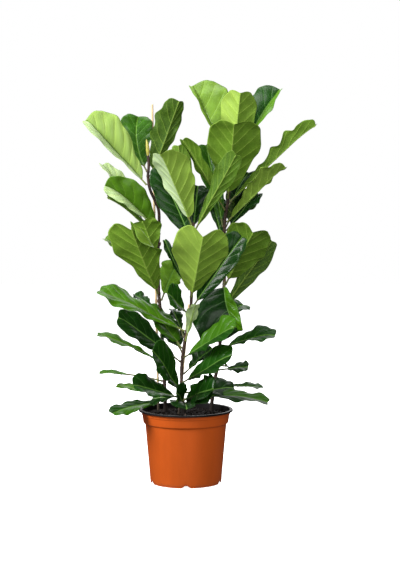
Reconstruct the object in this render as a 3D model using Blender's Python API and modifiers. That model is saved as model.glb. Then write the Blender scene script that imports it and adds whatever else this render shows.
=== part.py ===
"""Potted fiddle leaf fig: three leafy canes and two bamboo stakes in a plastic nursery pot.

Run with: blender --background --python part.py
Units are metres, +Z is up, and the origin is the centre of the pot's underside.
"""

import math
from dataclasses import dataclass

import bmesh
import bpy
from mathutils import Matrix, Vector

# Clearance between pieces that touch.
GAP = 0.0003
MERGE = 0.00005

# Nursery pot: a rolled lip, a stepped collar, a tapering wall and a raised drainage channel.
POT_HEIGHT = 0.187
POT_WALL = 0.0016
LIP_RADIUS = 0.120
LIP_DEPTH = 0.0045
LIP_ROUNDING = 0.0014
COLLAR_TOP_RADIUS = 0.1125
COLLAR_LEDGE_Z = 0.1735
COLLAR_LEDGE = 0.0010
COLLAR_DRAFT = 0.0004
COLLAR_BASE_RADIUS = 0.1085
COLLAR_BASE_Z = 0.1540
BODY_TOP_RADIUS = 0.1035
BODY_TOP_Z = 0.1500
BASE_RADIUS = 0.0900
FOOT_HEIGHT = 0.0050
EDGE_ROUNDING = 0.0008
CHANNEL_HEIGHT = 0.0085
CHANNEL_OUTER = 0.0845
CHANNEL_INNER = 0.0520
CHANNEL_SLOPE = 0.0050
CHANNEL_FILLET = 0.0030
POT_STEPS = 40

# Drainage notches through the foot of the wall.
NOTCH_COUNT = 5
NOTCH_HEIGHT = 0.0075
NOTCH_BASE_WIDTH = 0.025
NOTCH_TOP_WIDTH = 0.006
NOTCH_DEPTH = 0.012
NOTCH_OVERCUT = 0.002
NOTCH_FRONT_ANGLE = -89.0

# Potting soil.
SOIL_TOP = 0.174
SOIL_CROWN = 0.003
SOIL_CROWN_RADIUS = 0.040
SOIL_SHOULDER_RADIUS = 0.085
SOIL_EDGE_DROP = 0.002
SOIL_CLEARANCE = 1.4 * GAP
SOIL_STEPS = 32
HOLE_SIDES = 12
HOLE_CLEARANCE = 0.0006
HOLE_OVERCUT = 0.03
ROOT_DEPTH = 0.060

# Canes and bamboo stakes.
ROUTE_SPACING = 0.02
STAKE_RADIUS = 0.0032
STAKE_SIDES = 8

# The rolled new leaf on the left cane.
BUD_RADIUS = 0.0050
BUD_LENGTH = 0.040
BUD_TIP_SHARE = 0.55

# Leaves.
PETIOLE_RADIUS = 0.0021
PETIOLE_LENGTH = 0.022
BLADE_THICKNESS = 0.0015
VEIN_SWEEP = 2.25
VEIN_CURVE = 1.25
TIP_NOTCH_START = 0.6
TIP_NOTCH_SPREAD = 0.34
USUAL_WIDEST = 0.67
STALK_BLEND = 0.35
EDGE_THINNING = 0.6
BLADE_ROWS = (0.0, 0.07, 0.16, 0.28, 0.42, 0.56, 0.70, 0.85)
HALF_COLUMNS = 2
STALK_RINGS = (0.0, 0.75)
PATH_SAMPLES = 24

# Half width of a leaf blade along its length, as shares of the widest half width.
OUTLINE = (
    (0.00, 0.10),
    (0.05, 0.27),
    (0.14, 0.40),
    (0.28, 0.56),
    (0.42, 0.78),
    (0.56, 0.94),
    (0.67, 1.00),
    (0.77, 0.98),
    (0.86, 0.88),
    (0.93, 0.69),
    (0.98, 0.40),
    (1.00, 0.00),
)


@dataclass
class Cane:
    """A woody stem: its route from the soil to its growing tip, and its radius at each end."""

    route: tuple
    foot_radius: float
    tip_radius: float


@dataclass
class Leaf:
    """One leaf: the cane and height it grows from, where its midrib ends, and how its blade lies.

    bow moves the middle of the midrib off the straight line. The underside of an upright blade
    faces the compass direction lean (0 is +X, 90 is +Y). roll turns the blade about its midrib
    and fold lifts each half towards the upper side, all in degrees. halves scales the
    width of the two halves, and widest is where along the blade they are widest.
    """

    name: str
    cane: str
    height: float
    tip: tuple
    width: float
    lean: float
    roll: float = 0.0
    fold: float = 16.0
    bow: tuple = (0.0, 0.0, 0.0)
    notch: float = 0.04
    petiole: float = PETIOLE_LENGTH
    halves: tuple = (1.0, 1.0)
    widest: float = USUAL_WIDEST


CANES = {
    "left": Cane(
        route=(
            (-0.053, 0.030, 0.190),
            (-0.056, 0.030, 0.270),
            (-0.062, 0.028, 0.383),
            (-0.066, 0.026, 0.440),
            (-0.070, 0.024, 0.500),
            (-0.071, 0.022, 0.580),
            (-0.068, 0.022, 0.680),
            (-0.078, 0.020, 0.715),
            (-0.091, 0.020, 0.745),
            (-0.096, 0.020, 0.778),
            (-0.094, 0.020, 0.805),
            (-0.096, 0.020, 0.832),
        ),
        foot_radius=0.0048,
        tip_radius=0.0036,
    ),
    "centre": Cane(
        route=(
            (-0.006, -0.035, 0.190),
            (-0.010, -0.036, 0.247),
            (-0.010, -0.037, 0.300),
            (-0.005, -0.038, 0.345),
            (0.004, -0.039, 0.395),
            (0.012, -0.040, 0.438),
            (0.015, -0.040, 0.495),
            (0.015, -0.040, 0.590),
            (0.020, -0.040, 0.662),
        ),
        foot_radius=0.0046,
        tip_radius=0.0034,
    ),
    "right": Cane(
        route=(
            (0.066, 0.045, 0.190),
            (0.073, 0.046, 0.247),
            (0.083, 0.047, 0.300),
            (0.089, 0.048, 0.370),
            (0.094, 0.050, 0.462),
            (0.099, 0.050, 0.520),
            (0.099, 0.050, 0.644),
            (0.105, 0.050, 0.700),
            (0.111, 0.050, 0.740),
            (0.116, 0.050, 0.778),
            (0.123, 0.050, 0.838),
        ),
        foot_radius=0.0048,
        tip_radius=0.0034,
    ),
}

# Foot in the soil and top of each stake.
STAKES = {
    "left": ((-0.072, 0.060, SOIL_TOP), (-0.088, 0.098, 0.966)),
    "centre": ((-0.018, -0.018, SOIL_TOP), (0.008, -0.018, 0.455)),
}

LEAVES = (
    # Left cane, from the top down.
    Leaf("left_01", "left", 0.757, (-0.257, 0.010, 0.927), 0.122, 90, roll=36, fold=30,
         halves=(1.0, 0.5)),
    Leaf("left_02", "left", 0.790, (-0.124, 0.110, 0.942), 0.092, 90, fold=12, bow=(-0.016, 0.01, 0.0)),
    Leaf("left_03", "left", 0.778, (-0.015, 0.016, 0.975), 0.094, -90, roll=12, fold=10,
         bow=(0.004, 0.012, 0.0), halves=(0.78, 0.5), widest=0.6),
    Leaf("left_04", "left", 0.660, (-0.219, 0.110, 0.820), 0.068, 90, roll=44, fold=20,
         bow=(-0.006, 0.0, -0.012)),
    Leaf("left_05", "left", 0.640, (-0.207, -0.030, 0.757), 0.120, 90, roll=53, fold=36,
         bow=(0.0, 0.0, 0.014), halves=(0.82, 0.72), widest=0.56),
    Leaf("left_06", "left", 0.632, (-0.206, 0.070, 0.731), 0.088, 110, roll=50, fold=20),
    Leaf("left_07", "left", 0.570, (-0.110, -0.020, 0.668), 0.082, -90, fold=12),
    Leaf("left_08", "left", 0.545, (-0.213, 0.050, 0.622), 0.080, 180, roll=-20),
    Leaf("left_09", "left", 0.480, (-0.139, -0.125, 0.671), 0.150, -90, fold=16,
         bow=(-0.002, -0.02, -0.004), notch=0.13, halves=(0.94, 0.55), widest=0.72),
    Leaf("left_10", "left", 0.462, (-0.022, -0.010, 0.560), 0.072, 60, fold=12),
    Leaf("left_11", "left", 0.432, (-0.136, 0.050, 0.477), 0.055, 180, roll=-20),
    Leaf("left_12", "left", 0.303, (-0.231, 0.030, 0.379), 0.044, 180, roll=-18, fold=8,
         bow=(0.0, 0.0, 0.004)),
    Leaf("left_13", "left", 0.254, (-0.228, 0.060, 0.271), 0.036, 180, roll=-12, bow=(0.0, 0.0, 0.006),
         petiole=0.095),
    Leaf("left_14", "left", 0.214, (-0.184, 0.065, 0.241), 0.036, 180, roll=-20, fold=6,
         bow=(0.0, 0.0, 0.002)),
    Leaf("left_15", "left", 0.204, (-0.184, -0.105, 0.191), 0.054, 210, roll=-22, fold=6,
         bow=(0.0, 0.0, 0.004)),
    # Centre cane, from the top down.
    Leaf("centre_01", "centre", 0.655, (-0.062, -0.110, 0.836), 0.114, -90, roll=-21, fold=35,
         halves=(1.15, 1.0), widest=0.62),
    Leaf("centre_02", "centre", 0.622, (-0.072, -0.010, 0.809), 0.074, 90, fold=12, halves=(1.0, 1.15),
         widest=0.52),
    Leaf("centre_03", "centre", 0.635, (0.031, -0.005, 0.758), 0.062, 90, fold=12),
    Leaf("centre_04", "centre", 0.640, (0.129, -0.110, 0.834), 0.066, -90, roll=-25, fold=16,
         halves=(1.0, 0.8), widest=0.72),
    Leaf("centre_05", "centre", 0.476, (0.048, -0.185, 0.654), 0.142, -90, fold=14,
         bow=(0.0, -0.02, -0.004), notch=0.135),
    Leaf("centre_06", "centre", 0.492, (-0.054, -0.030, 0.622), 0.022, 120, bow=(-0.006, 0.0, 0.0)),
    Leaf("centre_07", "centre", 0.452, (0.145, -0.065, 0.633), 0.086, 80, fold=14, halves=(0.6, 1.0)),
    Leaf("centre_08", "centre", 0.430, (-0.046, -0.100, 0.490), 0.085, 180, roll=-30),
    Leaf("centre_09", "centre", 0.388, (-0.223, -0.025, 0.497), 0.104, 180, roll=-20, fold=6),
    Leaf("centre_10", "centre", 0.365, (0.026, -0.085, 0.463), 0.036, -60, fold=12),
    Leaf("centre_11", "centre", 0.312, (-0.166, -0.135, 0.437), 0.088, 180, roll=-35, fold=8),
    Leaf("centre_12", "centre", 0.335, (-0.040, 0.020, 0.378), 0.070, 140, roll=-20),
    Leaf("centre_13", "centre", 0.323, (0.123, -0.160, 0.415), 0.092, 0, roll=25),
    Leaf("centre_14", "centre", 0.236, (-0.080, -0.165, 0.357), 0.100, 180, roll=-30),
    Leaf("centre_15", "centre", 0.260, (0.116, -0.155, 0.345), 0.088, 0, roll=28),
    Leaf("centre_16", "centre", 0.280, (0.070, -0.005, 0.345), 0.080, 0, roll=25),
    Leaf("centre_17", "centre", 0.220, (-0.132, -0.105, 0.264), 0.080, 180, roll=-30),
    Leaf("centre_18", "centre", 0.216, (0.213, -0.075, 0.215), 0.060, 0, roll=20, fold=8,
         bow=(0.0, 0.0, 0.012)),
    Leaf("centre_19", "centre", 0.216, (0.070, -0.150, 0.260), 0.085, 0, roll=28),
    Leaf("centre_20", "centre", 0.200, (0.004, -0.150, 0.209), 0.085, -90, bow=(0.0, 0.0, 0.009),
         halves=(1.0, 0.66)),
    # Right cane, from the top down.
    Leaf("right_01", "right", 0.805, (0.012, 0.150, 1.028), 0.140, 90, roll=24, fold=24,
         halves=(1.1, 0.22), widest=0.72),
    Leaf("right_02", "right", 0.818, (0.141, 0.075, 1.006), 0.112, -90, fold=32, notch=0.08),
    Leaf("right_03", "right", 0.825, (0.250, 0.170, 1.020), 0.086, 90, roll=-28, fold=26,
         halves=(0.72, 1.5), widest=0.52),
    Leaf("right_04", "right", 0.722, (0.121, -0.080, 0.916), 0.140, -90, fold=17, notch=0.06,
         halves=(0.95, 1.1), widest=0.64),
    Leaf("right_05", "right", 0.715, (0.334, 0.010, 0.917), 0.076, -90, roll=44, fold=44,
         halves=(0.85, 1.0), widest=0.75),
    Leaf("right_06", "right", 0.692, (-0.009, -0.020, 0.877), 0.052, -90, roll=-40),
    Leaf("right_07", "right", 0.648, (0.049, 0.110, 0.871), 0.066, 90),
    Leaf("right_08", "right", 0.662, (0.254, -0.020, 0.808), 0.074, -90, roll=40, fold=24,
         halves=(1.1, 0.5)),
    Leaf("right_09", "right", 0.640, (0.189, 0.090, 0.740), 0.086, 60, roll=-10),
    Leaf("right_10", "right", 0.700, (0.165, 0.140, 0.795), 0.100, 60),
    Leaf("right_11", "right", 0.502, (0.178, -0.040, 0.653), 0.126, -90, fold=16, notch=0.13,
         widest=0.58),
    Leaf("right_12", "right", 0.442, (0.229, 0.095, 0.617), 0.058, -90, roll=-15, widest=0.62),
    Leaf("right_13", "right", 0.508, (0.137, -0.020, 0.382), 0.122, -90, roll=25, fold=20,
         bow=(-0.012, -0.025, 0.0), halves=(1.6, 0.5), widest=0.6),
    Leaf("right_14", "right", 0.420, (0.152, 0.120, 0.446), 0.066, 0, roll=42),
    Leaf("right_15", "right", 0.335, (0.232, 0.010, 0.375), 0.072, 0, roll=25, bow=(0.0, 0.0, 0.008)),
    Leaf("right_16", "right", 0.282, (0.162, 0.030, 0.291), 0.056, 0, roll=25, fold=4),
    Leaf("right_17", "right", 0.243, (0.208, 0.130, 0.224), 0.040, 0, roll=15, petiole=0.05),
)


def smooth_route(route, spacing):
    """Points about `spacing` apart on a smooth curve through the route's points."""
    points = [Vector(p) for p in route]
    padded = [points[0], *points, points[-1]]
    found = []
    for before, start, end, after in zip(padded, padded[1:], padded[2:], padded[3:]):
        count = max(1, round((end - start).length / spacing))
        for i in range(count):
            found.append(catmull_rom(before, start, end, after, i / count))
    found.append(points[-1])
    return found


def catmull_rom(before, start, end, after, t):
    """A point on the smooth curve between start and end."""
    lead = 2 * before - 5 * start + 4 * end - after
    turn = 3 * start - before - 3 * end + after
    return 0.5 * (2 * start + (end - before) * t + lead * t**2 + turn * t**3)


def interpolate(table, x):
    """The value at x in a table of (x, value) pairs."""
    for (x0, y0), (x1, y1) in zip(table, table[1:]):
        if x <= x1:
            return y0 + (y1 - y0) * (x - x0) / (x1 - x0)
    return table[-1][1]


def cane_axis(cane, height):
    """The point of the cane's axis at this height, its direction and its radius there."""
    points = smooth_route(cane.route, ROUTE_SPACING)
    low, high = points[0].z, points[-1].z
    for start, end in zip(points, points[1:]):
        if height <= end.z or end is points[-1]:
            share = (height - start.z) / (end.z - start.z)
            along = (height - low) / (high - low)
            radius = cane.foot_radius + (cane.tip_radius - cane.foot_radius) * along
            return start.lerp(end, share), (end - start).normalized(), radius


def collection(name, visible=True):
    """A new collection in the scene."""
    found = bpy.data.collections.new(name)
    found.hide_render = not visible
    bpy.context.scene.collection.children.link(found)
    return found


def material(name, color, roughness, metallic=0.0):
    """A plain Principled material."""
    made = bpy.data.materials.new(name)
    made.use_nodes = True
    shader = made.node_tree.nodes["Principled BSDF"]
    shader.inputs["Base Color"].default_value = (*color, 1.0)
    shader.inputs["Roughness"].default_value = roughness
    shader.inputs["Metallic"].default_value = metallic
    return made


def add_object(name, data, home, finish):
    """An object for this mesh or curve, in its collection and with its material."""
    obj = bpy.data.objects.new(name, data)
    home.objects.link(obj)
    data.materials.append(finish)
    return obj


def mesh_from(bm, name, sharp_angle=math.radians(40)):
    """A smooth-shaded mesh with its faces pointing out."""
    bmesh.ops.recalc_face_normals(bm, faces=bm.faces)
    mesh = bpy.data.meshes.new(name)
    bm.to_mesh(mesh)
    bm.free()
    mesh.shade_smooth()
    mesh.set_sharp_from_angle(angle=sharp_angle)
    return mesh


def turned(name, profile, steps, home, finish):
    """A solid turned about +Z from a profile of (radius, z) points that starts and ends on the axis."""
    bm = bmesh.new()
    verts = [bm.verts.new((radius, 0.0, z)) for radius, z in profile]
    for start, end in zip(verts, verts[1:]):
        bm.edges.new((start, end))
    mesh = bpy.data.meshes.new(name)
    bm.to_mesh(mesh)
    bm.free()
    obj = add_object(name, mesh, home, finish)
    screw = obj.modifiers.new("turn", "SCREW")
    screw.axis = "Z"
    screw.angle = 2 * math.pi
    screw.steps = steps
    screw.render_steps = steps
    screw.use_merge_vertices = True
    screw.merge_threshold = MERGE
    screw.use_smooth_shade = True
    return obj


def cut(obj, cutter):
    """Takes the cutter's shape out of the object."""
    cutter.hide_render = True
    cutter.display_type = "WIRE"
    boolean = obj.modifiers.new(cutter.name, "BOOLEAN")
    boolean.operation = "DIFFERENCE"
    boolean.solver = "EXACT"
    boolean.object = cutter


def pot_outside():
    """The pot's outer profile as (radius, z), from the lip's top edge down to the foot."""
    lip_base = POT_HEIGHT - LIP_DEPTH
    return [
        (LIP_RADIUS - LIP_ROUNDING, POT_HEIGHT),
        (LIP_RADIUS, POT_HEIGHT - LIP_ROUNDING),
        (LIP_RADIUS, lip_base + EDGE_ROUNDING),
        (LIP_RADIUS - EDGE_ROUNDING, lip_base),
        (COLLAR_TOP_RADIUS + EDGE_ROUNDING, lip_base - COLLAR_DRAFT),
        (COLLAR_TOP_RADIUS, lip_base - 2 * EDGE_ROUNDING),
        (COLLAR_TOP_RADIUS - COLLAR_DRAFT, COLLAR_LEDGE_Z + EDGE_ROUNDING),
        (COLLAR_TOP_RADIUS - COLLAR_DRAFT - COLLAR_LEDGE, COLLAR_LEDGE_Z),
        (COLLAR_BASE_RADIUS, COLLAR_BASE_Z),
        (BODY_TOP_RADIUS + EDGE_ROUNDING, BODY_TOP_Z + EDGE_ROUNDING),
        (BODY_TOP_RADIUS, BODY_TOP_Z),
        (BASE_RADIUS + EDGE_ROUNDING, FOOT_HEIGHT),
        (BASE_RADIUS, 0.0),
    ]


def pot_inside():
    """The pot's inner profile as (radius, z), from the centre of the floor up to the lip."""
    channel_top = CHANNEL_HEIGHT + POT_WALL
    collar_inside = COLLAR_TOP_RADIUS - POT_WALL
    return [
        (0.0, POT_WALL),
        (CHANNEL_INNER - POT_WALL, POT_WALL),
        (CHANNEL_INNER + CHANNEL_SLOPE - POT_WALL, channel_top),
        (CHANNEL_OUTER + CHANNEL_FILLET, channel_top),
        (BASE_RADIUS - POT_WALL + EDGE_ROUNDING, channel_top + CHANNEL_FILLET),
        (BODY_TOP_RADIUS - POT_WALL, BODY_TOP_Z),
        (COLLAR_BASE_RADIUS - POT_WALL, COLLAR_BASE_Z + EDGE_ROUNDING),
        (collar_inside - COLLAR_LEDGE, COLLAR_LEDGE_Z),
        (collar_inside, POT_HEIGHT - LIP_ROUNDING),
        (collar_inside + EDGE_ROUNDING, POT_HEIGHT),
    ]


def pot_underside():
    """The pot's underside as (radius, z), from the foot of the wall to the flat centre."""
    return [
        (BASE_RADIUS - POT_WALL, 0.0),
        (CHANNEL_OUTER + CHANNEL_FILLET, CHANNEL_HEIGHT - 2 * EDGE_ROUNDING),
        (CHANNEL_OUTER, CHANNEL_HEIGHT),
        (CHANNEL_INNER + CHANNEL_SLOPE, CHANNEL_HEIGHT),
        (CHANNEL_INNER, 0.0),
        (0.0, 0.0),
    ]


def notch_cutter(number, home):
    """A wedge that opens the foot of the wall at one drainage notch."""
    bm = bmesh.new()
    depth = Matrix.Diagonal((NOTCH_DEPTH, 1.0, 1.0, 1.0))
    bmesh.ops.create_cube(bm, size=1.0, matrix=Matrix.Translation((BASE_RADIUS, 0.0, 0.0)) @ depth)
    for vert in bm.verts:
        top = vert.co.z > 0.0
        width = NOTCH_TOP_WIDTH if top else NOTCH_BASE_WIDTH
        vert.co.y *= width
        vert.co.z = NOTCH_HEIGHT if top else -NOTCH_OVERCUT
    angle = math.radians(NOTCH_FRONT_ANGLE) + number * 2 * math.pi / NOTCH_COUNT
    bmesh.ops.rotate(bm, verts=bm.verts, matrix=Matrix.Rotation(angle, 3, "Z"))
    mesh = mesh_from(bm, f"notch_{number}")
    cutter = bpy.data.objects.new(f"notch_{number}", mesh)
    home.objects.link(cutter)
    return cutter


def build_pot(home, cutters, finish):
    """The nursery pot with its drainage notches."""
    profile = [*pot_inside(), *pot_outside(), *pot_underside()]
    pot = turned("pot", profile, POT_STEPS, home, finish)
    for number in range(NOTCH_COUNT):
        cut(pot, notch_cutter(number, cutters))


def soil_profile():
    """The soil's profile as (radius, z), from the crown of its surface to its underside."""
    inside = pot_inside()
    edge_z = SOIL_TOP - SOIL_EDGE_DROP
    edge_radius = interpolate([(z, radius) for radius, z in inside[4:8]], edge_z)
    surface = [
        (0.0, SOIL_TOP + SOIL_CROWN),
        (SOIL_CROWN_RADIUS, SOIL_TOP + 0.8 * SOIL_CROWN),
        (SOIL_SHOULDER_RADIUS, SOIL_TOP),
        (edge_radius - SOIL_CLEARANCE, edge_z),
    ]
    wall = [(radius - SOIL_CLEARANCE, z + GAP) for radius, z in reversed(inside[1:7])]
    return [*surface, *wall, (0.0, POT_WALL + GAP)]


def hole_cutter(name, foot, direction, radius, home):
    """A straight hole in the soil for a cane or a stake whose foot is at this point."""
    reach = ROOT_DEPTH + HOLE_OVERCUT
    bm = bmesh.new()
    wide = (radius + HOLE_CLEARANCE) / math.cos(math.pi / HOLE_SIDES)
    turn = direction.to_track_quat("Z", "Y").to_matrix().to_4x4()
    place = Matrix.Translation(foot + direction * (reach / 2 - GAP)) @ turn
    bmesh.ops.create_cone(
        bm, cap_ends=True, segments=HOLE_SIDES, radius1=wide, radius2=wide, depth=reach, matrix=place
    )
    cutter = bpy.data.objects.new(name, mesh_from(bm, name))
    home.objects.link(cutter)
    return cutter


def stake_axis(stake):
    """The foot of a stake deep in the soil, its direction and its length."""
    surface, top = (Vector(p) for p in stake)
    direction = (top - surface).normalized()
    foot = surface - direction * ROOT_DEPTH
    return foot, direction, (top - foot).length


def cane_foot(cane):
    """The buried foot of a cane, straight below the start of its route."""
    x, y, _ = cane.route[0]
    return Vector((x, y, SOIL_TOP - ROOT_DEPTH))


def build_soil(home, cutters, finish):
    """The potting soil, with a hole for each cane and stake."""
    soil = turned("soil", soil_profile(), SOIL_STEPS, home, finish)
    for name, cane in CANES.items():
        foot = cane_foot(cane)
        up = Vector((0.0, 0.0, 1.0))
        cut(soil, hole_cutter(f"cane_hole_{name}", foot, up, cane.foot_radius, cutters))
    for name, stake in STAKES.items():
        foot, direction, _ = stake_axis(stake)
        cut(soil, hole_cutter(f"stake_hole_{name}", foot, direction, STAKE_RADIUS, cutters))


def build_cane(name, cane, home, finish):
    """A cane as a round tube along its route, a little thinner at its tip."""
    curve = bpy.data.curves.new(f"cane_{name}", "CURVE")
    curve.dimensions = "3D"
    curve.bevel_depth = cane.foot_radius
    curve.bevel_resolution = 2
    curve.use_fill_caps = True
    points = [cane_foot(cane), *smooth_route(cane.route, ROUTE_SPACING)]
    spline = curve.splines.new("POLY")
    spline.points.add(len(points) - 1)
    low, high = points[1].z, points[-1].z
    for place, point in zip(spline.points, points):
        along = max(0.0, (point.z - low) / (high - low))
        place.co = (*point, 1.0)
        place.radius = 1.0 + (cane.tip_radius / cane.foot_radius - 1.0) * along
    spline.use_smooth = True
    add_object(f"cane_{name}", curve, home, finish)


def build_stake(name, stake, home, finish):
    """A straight bamboo stake."""
    foot, direction, length = stake_axis(stake)
    bm = bmesh.new()
    bmesh.ops.create_cone(
        bm,
        cap_ends=True,
        segments=STAKE_SIDES,
        radius1=STAKE_RADIUS,
        radius2=STAKE_RADIUS,
        depth=length,
        matrix=Matrix.Translation((0.0, 0.0, length / 2)),
    )
    obj = add_object(f"stake_{name}", mesh_from(bm, f"stake_{name}"), home, finish)
    obj.location = foot
    obj.rotation_mode = "QUATERNION"
    obj.rotation_quaternion = direction.to_track_quat("Z", "Y")


def build_bud(home, finish):
    """The rolled new leaf at the tip of the left cane."""
    tip = Vector(CANES["left"].route[-1])
    bm = bmesh.new()
    bmesh.ops.create_uvsphere(bm, u_segments=8, v_segments=6, radius=1.0)
    for vert in bm.verts:
        from_tip = (1.0 - vert.co.z) / 2
        width = BUD_RADIUS * (BUD_TIP_SHARE + (1.0 - BUD_TIP_SHARE) * from_tip)
        vert.co.x *= width
        vert.co.y *= width
        vert.co.z *= BUD_LENGTH / 2
    obj = add_object("bud_left", mesh_from(bm, "bud_left"), home, finish)
    obj.location = tip + Vector((0.0, 0.0, BUD_LENGTH / 2 + GAP))


class Midrib:
    """A leaf's centre line from its cane to its tip, with the directions across it."""

    def __init__(self, leaf):
        axis, up, radius = cane_axis(CANES[leaf.cane], leaf.height)
        tip = Vector(leaf.tip)
        through = (axis + tip) / 2 + Vector(leaf.bow)
        control = 2 * through - (axis + tip) / 2
        leave = (control - axis).normalized()
        outward = (leave - leave.dot(up) * up).normalized()
        reach = radius + GAP + PETIOLE_RADIUS * abs(leave.dot(up))
        self.start = axis + outward * reach
        self.control = control
        self.tip = tip
        self.leaf = leaf
        steps = [self.place(i / PATH_SAMPLES) for i in range(PATH_SAMPLES + 1)]
        self.lengths = [0.0]
        for one, other in zip(steps, steps[1:]):
            self.lengths.append(self.lengths[-1] + (other - one).length)

    def place(self, t):
        """The point at the curve's own parameter t."""
        return (1 - t) ** 2 * self.start + 2 * t * (1 - t) * self.control + t**2 * self.tip

    def heading(self, t):
        """The direction of the curve at its own parameter t."""
        step = (1 - t) * (self.control - self.start) + t * (self.tip - self.control)
        return step.normalized()

    def parameter(self, distance):
        """The curve's own parameter at this distance from the cane."""
        table = [(length, i / PATH_SAMPLES) for i, length in enumerate(self.lengths)]
        return interpolate(table, distance)

    def frame(self, distance):
        """The point at this distance from the cane, with the side and the upper directions there."""
        t = self.parameter(distance)
        heading = self.heading(t)
        lean = math.radians(self.leaf.lean)
        side = Vector((-math.sin(lean), math.cos(lean), 0.0))
        side = (side - side.dot(heading) * heading).normalized()
        upper = heading.cross(side)
        roll = math.radians(self.leaf.roll)
        turned_side = side * math.cos(roll) + upper * math.sin(roll)
        return self.place(t), turned_side, heading.cross(turned_side)


def blade_point(midrib, row, column):
    """A point of the blade's middle surface, and the upper direction there.

    row runs from 0 at the petiole to 1 at the tip, and column from -1 to 1 across the blade.
    Rows sweep forward like the side veins.
    """
    leaf = midrib.leaf
    out = abs(column)
    edge = 1 - (1 - row) ** VEIN_SWEEP
    along = row + (edge - row) * out**VEIN_CURVE
    share = interpolate(OUTLINE, edge ** (math.log(USUAL_WIDEST) / math.log(leaf.widest)))
    half = leaf.width / 2 * leaf.halves[0 if column < 0 else 1] * share * out
    near_tip = max(0.0, (row - TIP_NOTCH_START) / (1 - TIP_NOTCH_START))
    near_middle = math.exp(-((share * out / TIP_NOTCH_SPREAD) ** 2))
    pulled = leaf.notch * near_tip**2 * (3 - 2 * near_tip) * near_middle
    blade = midrib.lengths[-1] - leaf.petiole
    place, side, upper = midrib.frame(leaf.petiole + blade * (along - pulled))
    fold = math.radians(leaf.fold)
    across = side * math.cos(fold) * math.copysign(1.0, column) + upper * math.sin(fold)
    return place + across * half, upper


def blade_ring(midrib, row):
    """One closed ring round the blade: over the upper side, then back under it."""
    columns = [i / HALF_COLUMNS for i in range(-HALF_COLUMNS, HALF_COLUMNS + 1)]
    stem = max(0.0, 1 - row / STALK_BLEND)
    ring = []
    for side, order in ((1, columns), (-1, columns[-2:0:-1])):
        for column in order:
            place, upper = blade_point(midrib, row, column)
            thick = BLADE_THICKNESS / 2 + (PETIOLE_RADIUS - BLADE_THICKNESS / 2) * stem
            ring.append(place + upper * side * thick * (1 - abs(column)) ** EDGE_THINNING)
    return ring


def petiole_ring(midrib, distance):
    """One round ring of the leaf stalk."""
    place, side, upper = midrib.frame(distance)
    count = 4 * HALF_COLUMNS
    angles = [math.pi - i * 2 * math.pi / count for i in range(count)]
    return [
        place + PETIOLE_RADIUS * (side * math.cos(angle) + upper * math.sin(angle)) for angle in angles
    ]


def join_rings(bm, ring, after):
    """Triangles between two rings, cut the same way above and below the blade, so its skins never cross."""
    half = len(ring) // 2
    for i in range(len(ring)):
        j = (i + 1) % len(ring)
        if i < half:
            bm.faces.new((ring[i], ring[j], after[j]))
            bm.faces.new((ring[i], after[j], after[i]))
        else:
            bm.faces.new((ring[i], ring[j], after[i]))
            bm.faces.new((ring[j], after[j], after[i]))


def build_leaf(leaf, home, finish):
    """A leaf as one skin lofted from its round stalk into its flat blade."""
    midrib = Midrib(leaf)
    rings = [petiole_ring(midrib, leaf.petiole * share) for share in STALK_RINGS]
    rings += [blade_ring(midrib, row) for row in BLADE_ROWS]
    tip, _ = blade_point(midrib, 1.0, 0.0)
    bm = bmesh.new()
    loops = [[bm.verts.new(point) for point in ring] for ring in rings]
    end = bm.verts.new(tip)
    bm.faces.new(loops[0])
    for ring, after in zip(loops, loops[1:]):
        join_rings(bm, ring, after)
    last = loops[-1]
    for i in range(len(last)):
        bm.faces.new((last[i], last[(i + 1) % len(last)], end))
    add_object(f"leaf_{leaf.name}", mesh_from(bm, leaf.name, math.radians(60)), home, finish)


def main():
    for obj in list(bpy.data.objects):
        bpy.data.objects.remove(obj, do_unlink=True)
    parts = collection("potted_fiddle_leaf_fig")
    cutters = collection("cutters", visible=False)
    build_pot(parts, cutters, material("pot_plastic", (0.55, 0.12, 0.025), 0.45))
    build_soil(parts, cutters, material("soil", (0.012, 0.009, 0.007), 0.95))
    bark = material("bark", (0.09, 0.05, 0.03), 0.8)
    for name, cane in CANES.items():
        build_cane(name, cane, parts, bark)
    bamboo = material("bamboo", (0.50, 0.33, 0.15), 0.6)
    for name, stake in STAKES.items():
        build_stake(name, stake, parts, bamboo)
    build_bud(parts, material("bud", (0.45, 0.50, 0.05), 0.5))
    green = material("leaf", (0.06, 0.20, 0.02), 0.4)
    for leaf in LEAVES:
        build_leaf(leaf, parts, green)


main()
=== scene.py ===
"""Looks of the potted fiddle leaf fig: fine veined leaves, canes, stakes, soil and a nursery pot.

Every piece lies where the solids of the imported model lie. Units are metres, +Z is up.
The values of the leaves' midribs, the canes and the stakes repeat those of part.py.
"""

import math
import random
from dataclasses import dataclass

import bmesh
import bpy
import numpy as np
from mathutils import Matrix, Vector, noise


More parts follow.
